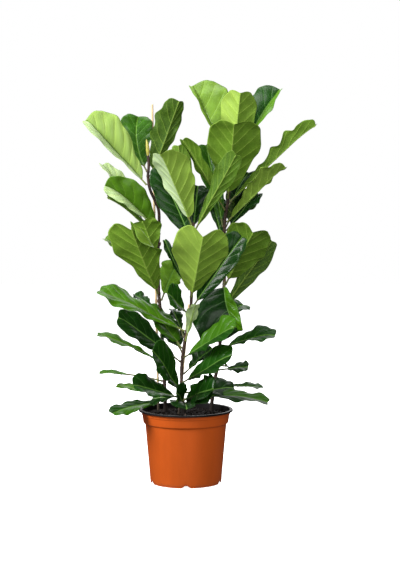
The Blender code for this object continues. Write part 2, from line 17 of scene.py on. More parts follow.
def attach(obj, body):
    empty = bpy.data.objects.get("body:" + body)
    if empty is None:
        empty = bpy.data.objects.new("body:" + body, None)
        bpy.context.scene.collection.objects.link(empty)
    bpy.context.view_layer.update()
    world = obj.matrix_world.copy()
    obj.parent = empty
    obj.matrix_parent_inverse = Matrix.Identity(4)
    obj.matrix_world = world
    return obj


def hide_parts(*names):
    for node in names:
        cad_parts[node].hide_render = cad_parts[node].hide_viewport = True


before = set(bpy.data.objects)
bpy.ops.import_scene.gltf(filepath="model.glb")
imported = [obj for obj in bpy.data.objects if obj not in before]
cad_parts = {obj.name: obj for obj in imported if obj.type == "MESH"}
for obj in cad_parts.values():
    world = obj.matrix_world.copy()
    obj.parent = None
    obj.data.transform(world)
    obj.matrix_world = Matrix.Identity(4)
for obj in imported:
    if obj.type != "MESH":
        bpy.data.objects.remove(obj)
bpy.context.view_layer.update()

# Leaf blades. VEIN_STEPS are shares of the way from one side vein to the next, TIP_STEPS and the
# starts of the notch and of the curl shares of a blade's length, and columns shares of a half width.
BLADE_THICKNESS = 0.0008
USUAL_BLADE_WIDTH = 0.12
PETIOLE_RADIUS = 0.0021
PETIOLE_LENGTH = 0.022
STALK_RINGS = 12
STALK_SHARE = 0.82
STALK_FLARE = 0.35
STALK_FLARE_LENGTH = 0.0025
VEIN_SPACING = 0.028
VEIN_COUNTS = (4, 7)
VEIN_CROWDING = 1.2
VEIN_SWEEP = 2.25
VEIN_CURVE = 1.25
VEIN_END = 0.965
VEIN_STEPS = (0.0, 0.05, 0.12, 0.24, 0.37, 0.50, 0.63, 0.76, 0.88, 0.95)
VEIN_HALF_WIDTH = 0.0011
VEIN_HEIGHT_BELOW = 0.00075
VEIN_DEPTH_ABOVE = 0.00035
RIB_DEPTH_ABOVE = 0.0005
TIP_STEPS = (0.975, 0.984, 0.991, 0.996)
HALF_COLUMNS = np.array(
    (0.0, 0.018, 0.045, 0.09, 0.15, 0.22, 0.30, 0.39, 0.48, 0.57, 0.66, 0.75, 0.83, 0.90, 0.96, 1.0)
)
TIP_NOTCH_START = 0.6
TIP_NOTCH_SPREAD = 0.34
FLARE = math.radians(26)
FURL_EASE = 0.35
USUAL_WIDEST = 0.67
PUFF_HEIGHT = 0.0025
WOBBLE_HEIGHT = 0.0022
CURL_START = 0.70

# Half width of a leaf blade along its length, as shares of the widest half width.
OUTLINE = (
    (0.00, 0.10),
    (0.05, 0.27),
    (0.14, 0.40),
    (0.28, 0.56),
    (0.42, 0.78),
    (0.56, 0.94),
    (0.67, 1.00),
    (0.77, 0.98),
    (0.86, 0.88),
    (0.93, 0.69),
    (0.98, 0.40),
    (1.00, 0.00),
)

# The pot's profile.
POT_HEIGHT = 0.187
POT_WALL = 0.0016
POT_ROUNDING = 0.0011
POT_STEP = 0.006
LIP_RADIUS = 0.120
LIP_DEPTH = 0.0045
COLLAR_TOP_RADIUS = 0.1125
COLLAR_LEDGE_Z = 0.1735
COLLAR_BASE_RADIUS = 0.1085
COLLAR_BASE_Z = 0.1540
BODY_TOP_RADIUS = 0.1035
BODY_TOP_Z = 0.1500
BASE_RADIUS = 0.0900
CHANNEL_HEIGHT = 0.0085
CHANNEL_OUTER = 0.0845
CHANNEL_INNER = 0.0520
NOTCH_COUNT = 5
NOTCH_HEIGHT = 0.0075
NOTCH_HALF_WIDTH = 0.0125
NOTCH_FRONT_ANGLE = math.radians(-89.0)
NOTCH_REACH = 0.018
POT_SIDES = 240

# The soil, and the heights between which it stains the wood, wholly and not at all.
SOIL_TOP = 0.174
SOIL_GAP = 0.0006
SOIL_SIDES = 150
CRUMB_COUNT = 700
CRUMB_SIZES = (0.0008, 0.0026)
SOILED = (SOIL_TOP + 0.012, SOIL_TOP + 0.045)

# Canes and stakes. A ring is (height, half width), and its groove (depth, half width, distance above).
GAP = 0.0003
ROUTE_SPACING = 0.004
CANE_SPACING = 0.0016
CANE_SIDES = 20
CANE_RING = (0.00065, 0.0022)
CANE_GROOVE = (0.00025, 0.003, 0.006)
CANE_UNEVENNESS = 0.00022
CANE_GRAIN = 90.0
SCAR_CLEARANCE = 0.010
CANE_TIP_SHARES = (0.92, 0.75, 0.45)
ROOT_DEPTH = 0.060
ROOT_STEPS = 12
ROOT_FLARE = 0.0012
ROOT_FLARE_HEIGHT = 0.008
STAKE_RADIUS = 0.0032
STAKE_SIDES = 16
STAKE_STEP = 0.002
STAKE_RING = (0.00055, 0.0016)
STAKE_GROOVE = (0.00035, 0.0014, 0.004)

# Rolled sheaths: the length and radius of the bud and the broken stub, and the stipules' radius.
BUD_SIZE = (0.044, 0.0052)
STUB_SIZE = (0.022, 0.0028)
STIPULE_RADIUS = 0.0022
SHEATH_STEPS = 28
SHEATH_SIDES = 20
SHEATH_SEAM = 0.22

# Colours of the plastics and of the sheaths, with the colour of the sheaths' edges.
TERRACOTTA = (0.38, 0.062, 0.005)
BLACK = (0.005, 0.004, 0.004)
YOUNG_SHEATH = ((0.42, 0.45, 0.05), (0.25, 0.16, 0.05))
DRY_SHEATH = ((0.16, 0.075, 0.028), (0.060, 0.026, 0.012))

# Studio light: each softbox's name, place, height aimed at, size and power.
SOFTBOXES = (
    ("key", (-2.4, -1.4, 2.0), 0.6, 1.3, 175.0),
    ("top", (-0.2, 0.2, 2.8), 0.5, 1.5, 55.0),
    ("fill", (0.5, -3.2, 1.5), 0.5, 2.6, 95.0),
    ("back", (0.8, 3.0, 1.8), 0.5, 2.6, 60.0),
)
WORLD_LIGHT = 0.30
WORLD_MIRRORED = 0.06
FLOOR_GLOW = 0.95
FLOOR_SIZE = 9.0
CAMERA_PLACE = (0.036, -3.35, 0.69)
CAMERA_TILT = math.radians(3.2)
CAMERA_LENS = 83.6

# A leaf whose tone is above or below these counts as young or old.
YOUNG_ABOVE = 0.7
OLD_BELOW = 0.3

# Heights of old leaf scars on the lower canes.
LEAF_SCARS = {
    "left": (0.205, 0.235, 0.262, 0.283, 0.318, 0.346, 0.372, 0.402, 0.520, 0.596),
    "centre": (0.228, 0.252, 0.268, 0.296, 0.350, 0.408, 0.446, 0.515, 0.560),
    "right": (0.206, 0.226, 0.262, 0.305, 0.356, 0.384, 0.452, 0.545, 0.580, 0.612),
}


@dataclass
class Cane:
    """A woody stem: its route from the soil to its growing tip, and its radius at each end."""

    route: tuple
    foot_radius: float
    tip_radius: float


@dataclass
class Leaf:
    """One leaf: the height it grows from, where its midrib ends, and how its blade lies.

    bow moves the middle of the midrib off the straight line. The underside of an upright blade
    faces the compass direction lean (0 is +X, 90 is +Y). roll turns the blade about its midrib
    and fold lifts each half towards the upper side, all in degrees. tone runs from 0, an old dark
    leaf, to 1, a young pale one; it also holds painted shade and light, darker for leaves deep in
    shade and paler for leaves in the light. wave is the height of the margin's waves, waves their
    number along a side and scallop how much they move the margin in and out. curl is how far the tip
    bends back as a share of the blade. halves scales the width of the two halves, and widest is where
    along the blade they are widest. furl rolls each margin towards the upper side, in degrees, beyond
    furl_row along the blade, and furl_turn says where across a half the roll starts and is complete.
    pale is how far painted light and sheen pale the upper side of each half, in streaks, and
    pale_below the same on its underside. ribbed scales the relief between the side veins.
    """

    height: float
    tip: tuple
    width: float
    lean: float
    roll: float = 0.0
    fold: float = 16.0
    bow: tuple = (0.0, 0.0, 0.0)
    notch: float = 0.04
    petiole: float = PETIOLE_LENGTH
    tone: float = 0.5
    wave: float = 0.004
    waves: float = 2.2
    phase: float = 0.0
    curl: float = 0.03
    scallop: float = 0.05
    halves: tuple = (1.0, 1.0)
    widest: float = USUAL_WIDEST
    furl: tuple = (0.0, 0.0)
    furl_row: float = 0.0
    furl_turn: tuple = (0.5, 1.0)
    pale: tuple = (0.0, 0.0)
    pale_below: tuple = (0.0, 0.0)
    ribbed: float = 1.0


CANES = {
    "left": Cane(
        route=(
            (-0.053, 0.030, 0.190),
            (-0.056, 0.030, 0.270),
            (-0.062, 0.028, 0.383),
            (-0.066, 0.026, 0.440),
            (-0.070, 0.024, 0.500),
            (-0.071, 0.022, 0.580),
            (-0.068, 0.022, 0.680),
            (-0.078, 0.020, 0.715),
            (-0.091, 0.020, 0.745),
            (-0.096, 0.020, 0.778),
            (-0.094, 0.020, 0.805),
            (-0.096, 0.020, 0.832),
        ),
        foot_radius=0.0048,
        tip_radius=0.0036,
    ),
    "centre": Cane(
        route=(
            (-0.006, -0.035, 0.190),
            (-0.010, -0.036, 0.247),
            (-0.010, -0.037, 0.300),
            (-0.005, -0.038, 0.345),
            (0.004, -0.039, 0.395),
            (0.012, -0.040, 0.438),
            (0.015, -0.040, 0.495),
            (0.015, -0.040, 0.590),
            (0.020, -0.040, 0.662),
        ),
        foot_radius=0.0046,
        tip_radius=0.0034,
    ),
    "right": Cane(
        route=(
            (0.066, 0.045, 0.190),
            (0.073, 0.046, 0.247),
            (0.083, 0.047, 0.300),
            (0.089, 0.048, 0.370),
            (0.094, 0.050, 0.462),
            (0.099, 0.050, 0.520),
            (0.099, 0.050, 0.644),
            (0.105, 0.050, 0.700),
            (0.111, 0.050, 0.740),
            (0.116, 0.050, 0.778),
            (0.123, 0.050, 0.838),
        ),
        foot_radius=0.0048,
        tip_radius=0.0034,
    ),
}

# Foot in the soil and top of each stake.
STAKES = {
    "left": ((-0.072, 0.060, SOIL_TOP), (-0.088, 0.098, 0.966)),
    "centre": ((-0.018, -0.018, SOIL_TOP), (0.008, -0.018, 0.455)),
}

# Dry stipules on the canes: the cane, the height, the compass direction and the length of each.
STIPULES = (
    ("left", 0.455, 150, 0.014),
    ("left", 0.600, 10, 0.012),
    ("centre", 0.210, -120, 0.018),
    ("centre", 0.395, 20, 0.012),
    ("right", 0.505, -60, 0.016),
    ("right", 0.690, 200, 0.014),
)
# The foot of a broken stub in the soil.
STUB = (-0.002, -0.098, 0.168)

# The leaves of each cane from the top down, and then the extra ones that have no solid in the model.
LEFT_LEAVES = (
    Leaf(0.757, (-0.257, 0.010, 0.927), 0.122, 90, roll=36, fold=30, tone=0.8, wave=0.003, phase=0.3,
         scallop=0.06, halves=(1.0, 0.5), pale=(0.45, 0.8), ribbed=1.8),
    Leaf(0.790, (-0.124, 0.110, 0.942), 0.092, 90, fold=12, bow=(-0.016, 0.01, 0.0), tone=0.45, phase=0.75),
    Leaf(0.778, (-0.015, 0.016, 0.975), 0.094, -90, roll=12, fold=10, bow=(0.004, 0.012, 0.0), tone=0.15,
         waves=3.0, phase=0.69, scallop=0.09, halves=(0.95, 0.5), widest=0.6, furl=(50.0, 0.0)),
    Leaf(0.660, (-0.219, 0.110, 0.820), 0.068, 90, roll=44, fold=20, bow=(-0.006, 0.0, -0.012), tone=1.0,
         phase=0.16, pale=(0.6, 0.6), ribbed=1.3),
    Leaf(0.640, (-0.207, -0.030, 0.757), 0.120, 90, roll=53, fold=36, bow=(0.0, 0.0, 0.014), tone=0.7,
         phase=0.47, scallop=0.03, halves=(0.82, 0.72), widest=0.56, pale=(0.0, 0.8), ribbed=1.4),
    Leaf(0.632, (-0.206, 0.070, 0.731), 0.088, 110, roll=50, fold=20, tone=0.05, phase=0.77),
    Leaf(0.570, (-0.110, -0.020, 0.668), 0.082, -90, fold=12, tone=0.6, phase=0.6),
    Leaf(0.545, (-0.213, 0.050, 0.622), 0.080, 180, roll=-20, tone=0.8, phase=0.8),
    Leaf(0.480, (-0.139, -0.125, 0.671), 0.150, -90, bow=(-0.002, -0.02, -0.004), notch=0.13, tone=0.66,
         phase=0.74, curl=0.0, halves=(0.94, 0.88), widest=0.72, furl=(0.0, -170.0), furl_row=0.2,
         furl_turn=(0.42, 0.66), pale=(0.0, 0.35)),
    Leaf(0.462, (-0.022, -0.010, 0.560), 0.072, 60, fold=12, tone=0.2, phase=0.08, pale=(0.5, 0.5),
         pale_below=(0.15, 0.15)),
    Leaf(0.432, (-0.136, 0.050, 0.477), 0.055, 180, roll=-20, tone=0.3, phase=0.77),
    Leaf(0.303, (-0.231, 0.030, 0.379), 0.044, 180, roll=-18, fold=8, bow=(0.0, 0.0, 0.004), tone=0.55,
         phase=0.01),
    Leaf(0.254, (-0.228, 0.060, 0.271), 0.036, 180, roll=-12, bow=(0.0, 0.0, 0.006), petiole=0.095,
         wave=0.001, phase=0.6),
    Leaf(0.214, (-0.184, 0.065, 0.241), 0.036, 180, roll=-20, fold=6, bow=(0.0, 0.0, 0.002), tone=0.6,
         wave=0.002, phase=0.33),
    Leaf(0.204, (-0.184, -0.105, 0.191), 0.054, 210, roll=-22, fold=6, bow=(0.0, 0.0, 0.004), tone=0.2,
         phase=0.7, pale=(0.0, 0.25)),
    Leaf(0.300, (-0.127, 0.060, 0.404), 0.055, 180, roll=-20, fold=6, tone=0.05, phase=0.4),
)
CENTRE_LEAVES = (
    Leaf(0.655, (-0.062, -0.110, 0.836), 0.114, -90, roll=-21, fold=35, tone=0.75, phase=0.29,
         halves=(1.15, 1.0), widest=0.62, pale_below=(1.0, 0.1)),
    Leaf(0.622, (-0.072, -0.010, 0.809), 0.074, 90, fold=12, tone=0.1, phase=0.24, halves=(1.0, 1.15),
         widest=0.52),
    Leaf(0.635, (0.031, -0.005, 0.758), 0.062, 90, fold=12, tone=0.0, phase=0.91),
    Leaf(0.640, (0.129, -0.110, 0.834), 0.066, -90, roll=-25, tone=0.3, phase=0.6, halves=(1.0, 0.8),
         widest=0.72),
    Leaf(0.476, (0.048, -0.185, 0.654), 0.142, -90, fold=14, bow=(0.0, -0.02, -0.004), notch=0.135, tone=0.72,
         phase=0.69, curl=0.0, scallop=0.03, pale_below=(0.22, 0.0)),
    Leaf(0.492, (-0.054, -0.030, 0.622), 0.022, 120, bow=(-0.006, 0.0, 0.0), tone=0.2, phase=0.7),
    Leaf(0.452, (0.145, -0.065, 0.633), 0.086, 80, fold=14, tone=0.1, phase=0.6, furl=(100.0, 0.0),
         ribbed=0.7),
    Leaf(0.430, (-0.046, -0.100, 0.490), 0.085, 180, roll=-30, tone=0.3, phase=0.5),
    Leaf(0.388, (-0.223, -0.025, 0.497), 0.104, 180, roll=-20, fold=6, tone=0.66, wave=0.006, phase=0.81,
         scallop=0.03),
    Leaf(0.365, (0.026, -0.085, 0.463), 0.036, -60, fold=12, tone=0.8, phase=0.19, pale_below=(0.8, 0.8)),
    Leaf(0.312, (-0.166, -0.135, 0.437), 0.088, 180, roll=-35, fold=8, tone=0.05, phase=0.29),
    Leaf(0.335, (-0.040, 0.020, 0.378), 0.070, 140, roll=-20, tone=0.1, phase=0.81),
    Leaf(0.323, (0.123, -0.160, 0.415), 0.092, 0, roll=25, tone=0.15, phase=0.19, pale=(0.06, 0.32)),
    Leaf(0.236, (-0.080, -0.165, 0.357), 0.100, 180, roll=-30, tone=0.2, phase=0.66),
    Leaf(0.260, (0.116, -0.155, 0.345), 0.088, 0, roll=28, tone=0.1, phase=0.49, pale=(0.0, 0.2)),
    Leaf(0.280, (0.070, -0.005, 0.345), 0.080, 0, roll=25, tone=0.1, phase=0.94),
    Leaf(0.220, (-0.132, -0.105, 0.264), 0.080, 180, roll=-30, tone=0.1, phase=0.01, pale=(0.0, 0.15)),
    Leaf(0.216, (0.213, -0.075, 0.215), 0.060, 0, roll=20, fold=8, bow=(0.0, 0.0, 0.012), tone=0.1,
         phase=0.85, pale=(0.0, 0.3)),
    Leaf(0.216, (0.070, -0.150, 0.260), 0.085, 0, roll=28, tone=0.0, phase=0.99, pale=(0.0, 0.1)),
    Leaf(0.200, (0.004, -0.150, 0.209), 0.085, -90, bow=(0.0, 0.0, 0.009), tone=0.0, wave=0.003, phase=0.08,
         halves=(1.0, 0.66)),
    Leaf(0.630, (-0.020, 0.010, 0.862), 0.055, -90, fold=12, phase=0.2),
    Leaf(0.345, (-0.097, 0.020, 0.456), 0.072, 180, roll=-38, fold=6, phase=0.6, widest=0.45),
    Leaf(0.372, (-0.035, 0.000, 0.444), 0.050, 180, roll=-30, fold=8, tone=0.1, phase=0.1),
    Leaf(0.214, (0.070, -0.130, 0.253), 0.080, 0, roll=42, fold=10, bow=(0.0, -0.01, 0.004), petiole=0.015,
         tone=0.05, wave=0.009, waves=2.0, phase=0.3, pale=(0.0, 0.2)),
    Leaf(0.225, (-0.089, 0.000, 0.212), 0.060, 180, roll=-28, fold=6, tone=0.05, phase=0.8),
    Leaf(0.232, (0.127, -0.020, 0.245), 0.080, 0, roll=30, fold=6, tone=0.05, phase=0.5),
    Leaf(0.210, (-0.023, -0.130, 0.245), 0.066, 180, roll=-45, fold=10, bow=(0.0, -0.01, 0.006),
         petiole=0.012, tone=0.05, wave=0.005, phase=0.6),
)
RIGHT_LEAVES = (
    Leaf(0.805, (0.012, 0.150, 1.028), 0.140, 90, roll=24, fold=24, tone=0.84, phase=0.2, scallop=0.03,
         halves=(1.1, 0.22), widest=0.72),
    Leaf(0.818, (0.141, 0.075, 1.006), 0.112, -90, fold=32, notch=0.08, tone=0.7, phase=0.97, scallop=0.04,
         pale_below=(0.32, 0.0), ribbed=1.6),
    Leaf(0.825, (0.250, 0.170, 1.020), 0.086, 90, roll=-28, fold=26, tone=0.25, phase=0.75,
         halves=(0.72, 1.5), widest=0.52, pale=(0.42, 0.0)),
    Leaf(0.722, (0.121, -0.080, 0.916), 0.140, -90, fold=17, notch=0.06, tone=0.6, phase=0.05, scallop=0.03,
         halves=(0.95, 1.1), widest=0.64),
    Leaf(0.715, (0.334, 0.010, 0.917), 0.076, -90, roll=44, fold=44, waves=4.5, phase=0.38, scallop=0.13,
         halves=(0.85, 1.0), widest=0.75),
    Leaf(0.692, (-0.009, -0.020, 0.877), 0.052, -90, roll=-40, phase=0.99),
    Leaf(0.648, (0.049, 0.110, 0.871), 0.066, 90, tone=0.42, phase=0.03),
    Leaf(0.662, (0.254, -0.020, 0.808), 0.074, -90, roll=40, fold=24, tone=0.78, waves=3.2, phase=0.34,
         scallop=0.08, halves=(1.1, 0.5)),
    Leaf(0.640, (0.189, 0.090, 0.740), 0.086, 60, roll=-10, tone=0.05, wave=0.002, phase=0.6),
    Leaf(0.700, (0.165, 0.140, 0.795), 0.100, 60, tone=0.0, phase=0.76),
    Leaf(0.502, (0.178, -0.040, 0.653), 0.126, -90, notch=0.13, tone=0.45, phase=0.92, widest=0.58),
    Leaf(0.442, (0.229, 0.095, 0.617), 0.058, -90, roll=-15, tone=0.1, phase=0.49, widest=0.62),
    Leaf(0.508, (0.137, -0.020, 0.382), 0.122, -90, roll=25, fold=20, bow=(-0.012, -0.025, 0.0), tone=0.0,
         phase=0.91, halves=(1.6, 0.5), widest=0.6, pale=(0.0, 0.5), ribbed=1.5),
    Leaf(0.420, (0.152, 0.120, 0.446), 0.066, 0, roll=42, tone=0.3, wave=0.002, phase=0.54),
    Leaf(0.335, (0.232, 0.010, 0.375), 0.072, 0, roll=25, bow=(0.0, 0.0, 0.008), tone=0.3, phase=0.5),
    Leaf(0.282, (0.162, 0.030, 0.291), 0.056, 0, roll=25, fold=4, tone=0.1, wave=0.002, phase=0.93),
    Leaf(0.243, (0.208, 0.130, 0.224), 0.040, 0, roll=15, petiole=0.05, tone=0.3, wave=0.002, phase=0.73),
    Leaf(0.612, (0.064, 0.080, 0.726), 0.046, 90, fold=12, tone=0.2, phase=0.35, halves=(1.6, 0.6)),
    Leaf(0.650, (0.159, 0.120, 0.750), 0.085, -90, fold=12, tone=0.0, phase=0.55),
    Leaf(0.292, (0.109, 0.070, 0.288), 0.036, 0, roll=25, fold=6, tone=0.05, phase=0.15),
)
LEAVES = {"left": LEFT_LEAVES, "centre": CENTRE_LEAVES, "right": RIGHT_LEAVES}


# ---------------------------------------------------------------- materials


class Nodes:
    """A node tree, with short calls for the nodes used here."""

    def __init__(self, tree):
        self.tree = tree

    def node(self, kind, inputs=(), **settings):
        """A node with these settings, and its inputs linked to sockets or set to values."""
        made = self.tree.nodes.new("ShaderNode" + kind)
        for key, value in settings.items():
            setattr(made, key, value)
        for key, value in dict(inputs).items():
            self.feed(made.inputs[key], value)
        return made

    def feed(self, socket, value):
        """Links an input to an output, or sets it; three numbers are a colour where four are due."""
        if isinstance(value, bpy.types.NodeSocket):
            self.tree.links.new(value, socket)
        elif socket.type == "RGBA" and len(value) == 3:
            socket.default_value = (*value, 1.0)
        else:
            socket.default_value = value

    def math(self, operation, *values):
        """The result of a Math node."""
        return self.node("Math", enumerate(values), operation=operation).outputs[0]

    def scaled(self, value, factor, plus=0.0):
        """The value times a factor, plus another value."""
        return self.math("MULTIPLY_ADD", value, factor, plus)

    def band(self, value, start, end, low=0.0, high=1.0):
        """A value that goes smoothly from low to high as its input goes from start to end."""
        inputs = {0: value, 1: start, 2: end, 3: low, 4: high}
        return self.node("MapRange", inputs, interpolation_type="SMOOTHSTEP").outputs[0]

    def mix(self, share, first, second, blend="MIX"):
        """A mix of two colours."""
        inputs = {0: share, 6: first, 7: second}
        return self.node("Mix", inputs, data_type="RGBA", blend_type=blend).outputs[2]

    def coat(self, base, mask, strength, color):
        """The base colour with another laid over it where the mask is 1, as strongly as this."""
        return self.mix(self.scaled(mask, strength), base, color)

    def stain(self, base, value, limits, color):
        """The base colour with another laid over it by a band of the value."""
        return self.mix(self.band(value, *limits), base, color)

    def mapped(self, name, *stretch):
        """A UV map of the piece as a vector, with its parts scaled."""
        return self.stretched(self.node("UVMap", uv_map=name).outputs[0], *stretch)

    def place(self, *stretch):
        """The point of the object, in metres, with its parts scaled."""
        return self.stretched(self.node("TexCoord").outputs["Object"], *stretch)

    def stretched(self, vector, *scale):
        """The vector, with its parts scaled if a scale is given."""
        if not scale:
            return vector
        return self.node("VectorMath", {0: vector, 1: scale}, operation="MULTIPLY").outputs[0]

    def split(self, vector):
        """The three parts of a vector."""
        return self.node("SeparateXYZ", {0: vector}).outputs

    def noise(self, vector, scale, detail=3.0, roughness=0.55):
        """Cloudy noise between 0 and 1."""
        inputs = {"Vector": vector, "Scale": scale, "Detail": detail, "Roughness": roughness}
        return self.node("TexNoise", inputs).outputs[0]

    def spots(self, vector, scale, start, end, feature="F1"):
        """Spots on the middles of cells, or lines on their edges, from 1 inside start to 0 beyond end."""
        cells = self.node("TexVoronoi", {"Vector": vector, "Scale": scale}, feature=feature)
        return self.band(cells.outputs["Distance"], start, end, 1.0, 0.0)


class Finish(Nodes):
    """A material with one Principled shader, whose sockets are fed from nodes."""

    def __init__(self, name):
        self.material = bpy.data.materials.new(name)
        self.material.use_nodes = True
        super().__init__(self.material.node_tree)
        self.shader = self.tree.nodes["Principled BSDF"]

    def done(self, color, rough, relief=None, **values):
        """The material with this colour, roughness, relief as (height, strength, depth) and the rest."""
        values.update(Base_Color=color, Roughness=rough)
        if relief:
            inputs = dict(zip(("Height", "Strength", "Distance"), relief))
            values["Normal"] = self.node("Bump", inputs).outputs[0]
        for key, value in values.items():
            self.feed(self.shader.inputs[key.replace("_", " ")], value)
        return self.material

    def let_light_through(self, color, share):
        """Mixes in light that shines through from behind."""
        through = self.node("BsdfTranslucent", {"Color": color})
        inputs = {0: share, 1: self.shader.outputs[0], 2: through.outputs[0]}
        mixed = self.node("MixShader", inputs)
        self.tree.links.new(mixed.outputs[0], self.tree.nodes["Material Output"].inputs[0])


def blend_tones(tones, tone):
    """The colour at this tone, from 0 to 1, between the colours of an evenly spaced list."""
    stops = np.linspace(0.0, 1.0, len(tones))
    return tuple(float(np.interp(tone, stops, [t[k] for t in tones])) for k in range(3))


def scale_color(color, factor, plus=0.0):
    """The colour with each part times a factor, plus a share of white."""
    return tuple(factor * part + plus for part in color)


@dataclass
class LeafSide:
    """How one side of the leaves looks. Colours run from the oldest leaf to the youngest, and also from
    leaves painted dark for shade to leaves painted pale for light.

    patches is the scale of the cloudy patches, the band of noise that they fill and how dark they
    are. The entry after patches is painted light: a paler tint beside each side vein, standing for
    light caught by the skin there, with its share. laid is how strongly the fine net, the side veins
    and the margin take the veins' colour, and relief how high the net, the grain and the side veins
    stand out. through is the share of light that passes through the oldest leaf, and what the
    youngest adds to it.
    """

    name: str
    tones: tuple
    veins: tuple
    ribs: tuple
    vein_width: float
    rib_reach: float
    patches: tuple
    lifted: tuple
    laid: tuple
    grain: float
    relief: tuple
    through: tuple


UPPER = LeafSide(
    name="leaf_upper",
    tones=((0.002, 0.020, 0.001), (0.008, 0.055, 0.002), (0.055, 0.165, 0.003), (0.225, 0.350, 0.045)),
    veins=((0.045, 0.110, 0.025), (0.080, 0.200, 0.035), (0.140, 0.300, 0.040), (0.350, 0.540, 0.150)),
    # Midrib colours; the darker ones of young leaves are painted shade in the midrib's groove.
    ribs=((0.100, 0.210, 0.040), (0.130, 0.280, 0.040), (0.100, 0.190, 0.018), (0.060, 0.130, 0.010)),
    vein_width=0.040,
    rib_reach=0.0026,
    patches=(38.0, 0.30, 0.72, 0.72),
    lifted=((1.30, 1.20, 1.05), 0.55),
    laid=(0.12, 0.75, 0.45),
    grain=900.0,
    relief=(-0.5, 0.25, -0.6),
    through=(0.10, 0.14),
)
LOWER = LeafSide(
    name="leaf_lower",
    tones=((0.022, 0.055, 0.004), (0.060, 0.132, 0.009), (0.135, 0.255, 0.022), (0.300, 0.430, 0.070)),
    veins=((0.130, 0.200, 0.030), (0.210, 0.330, 0.050), (0.300, 0.460, 0.070), (0.420, 0.600, 0.150)),
    ribs=((0.104, 0.160, 0.024), (0.168, 0.264, 0.040), (0.240, 0.368, 0.056), (0.336, 0.480, 0.120)),
    vein_width=0.050,
    rib_reach=0.0018,
    patches=(45.0, 0.28, 0.74, 0.78),
    lifted=((1.25, 1.20, 1.10), 0.45),
    laid=(0.22, 0.85, 0.5),
    grain=1100.0,
    relief=(0.5, 0.3, 0.7),
    through=(0.12, 0.16),
)
STALK_TONES = ((0.060, 0.075, 0.018), (0.110, 0.150, 0.025), (0.240, 0.330, 0.060))
# The whitish green of painted light and sheen on the palest leaf halves.
PAINTED_SHEEN_GREEN = (0.48, 0.60, 0.36)
SHINE_THROUGH = (0.17, 0.40, 0.008)


def vein_pattern(finish, width, rib_reach):
    """Shares of side vein, midrib, fine net and margin at a point of a blade."""
    crossed, column, _ = finish.split(finish.mapped("veins"))
    _, across, _ = finish.split(finish.mapped("metres"))
    out = finish.math("ABSOLUTE", column)
    from_vein = finish.math("PINGPONG", crossed, 0.5)
    reach = finish.scaled(out, -0.75 * width, width)
    side = finish.band(from_vein, finish.scaled(reach, 0.35), reach, 1.0, 0.0)
    midrib = finish.band(finish.math("ABSOLUTE", across), 0.3 * rib_reach, rib_reach, 1.0, 0.0)
    net = finish.spots(finish.mapped("metres", 1.0, 0.65, 1.0), 210.0, 0.0, 0.10, "DISTANCE_TO_EDGE")
    return side, midrib, net, finish.band(out, 0.955, 1.0), from_vein


def pale_halves(finish, base, tones, tone, pale):
    """The base colour with each half of the blade made this much paler, up to a whitish green, in streaks:
    painted light and sheen.
    """
    if not any(pale):
        return base
    _, column, _ = finish.split(finish.mapped("veins"))
    streaks = finish.noise(finish.mapped("veins", 6.0, 1.2, 1.0), 1.0, 4.0)
    palest = len(tones) / (len(tones) - 1)
    colors = [blend_tones((*tones, PAINTED_SHEEN_GREEN), (tone + p * (palest - tone)) / palest) for p in pale]
    light = finish.mix(finish.band(column, -0.03, 0.03), *colors)
    share = finish.band(column, -0.03, 0.03, *(float(p > 0) for p in pale))
    share = finish.math("MULTIPLY", share, finish.band(streaks, 0.30, 0.60, 0.70, 1.0))
    return finish.mix(share, base, light)


def leaf_skin(side, tone, pale):
    """A finish with one side's colour and veins; its colour, relief and grain are returned too."""
    finish = Finish("_".join([side.name] + [str(round(100 * value)) for value in (tone, *pale)]))
    color, vein = blend_tones(side.tones, tone), blend_tones(side.veins, tone)
    side_vein, midrib, net, margin, from_vein = vein_pattern(finish, side.vein_width, side.rib_reach)
    metres = finish.mapped("metres")
    scale, start, end, shade = side.patches
    patches = finish.band(finish.noise(metres, scale, 4.0), start, end)
    base = finish.mix(patches, scale_color(color, shade), color)
    # Painted light and sheen: each half of the blade paled in streaks.
    base = pale_halves(finish, base, side.tones, tone, pale)
    # Painted light: a paler tint beside each side vein, standing for light caught by the skin there.
    tint, share = side.lifted
    light = finish.mix(1.0, base, tint, "MULTIPLY")
    base = finish.stain(base, from_vein, (0.30, 0.03, 0.0, share), light)
    net_laid, vein_laid, margin_laid = side.laid
    base = finish.coat(base, net, net_laid, vein)
    base = finish.coat(base, side_vein, vein_laid, vein)
    # The midrib's colour; on the upper side of young leaves it is darker than the blade, painted shade in its
    # groove.
    base = finish.mix(midrib, base, blend_tones(side.ribs, tone))
    base = finish.coat(base, margin, margin_laid, vein)
    grain = finish.noise(metres, side.grain, 2.0)
    net_height, grain_height, vein_height = side.relief
    height = finish.scaled(net, net_height, finish.scaled(grain, grain_height))
    height = finish.scaled(side_vein, vein_height, height)
    least, more = side.through
    finish.let_light_through(finish.mix(0.5, base, SHINE_THROUGH), least + more * tone)
    return finish, base, (height, 0.35, 0.0006), grain


def leaf_upper(tone, pale):
    """The waxy upper side of a leaf, with pale sunken veins and a little dust."""
    finish, color, relief, grain = leaf_skin(UPPER, tone, pale)
    dust = finish.noise(finish.place(), 14.0, 5.0)
    rough = finish.scaled(grain, 0.06, finish.scaled(dust, 0.16, 0.20 + 0.10 * tone))
    return finish.done(color, rough, relief, Coat_Weight=0.07, Coat_Roughness=0.08, Specular_IOR_Level=0.13)


def leaf_lower(tone, pale):
    """The matt underside of a leaf, with raised yellowish veins and a fine net between them."""
    finish, color, relief, grain = leaf_skin(LOWER, tone, pale)
    return finish.done(color, finish.scaled(grain, 0.12, 0.46), relief, Specular_IOR_Level=0.10)


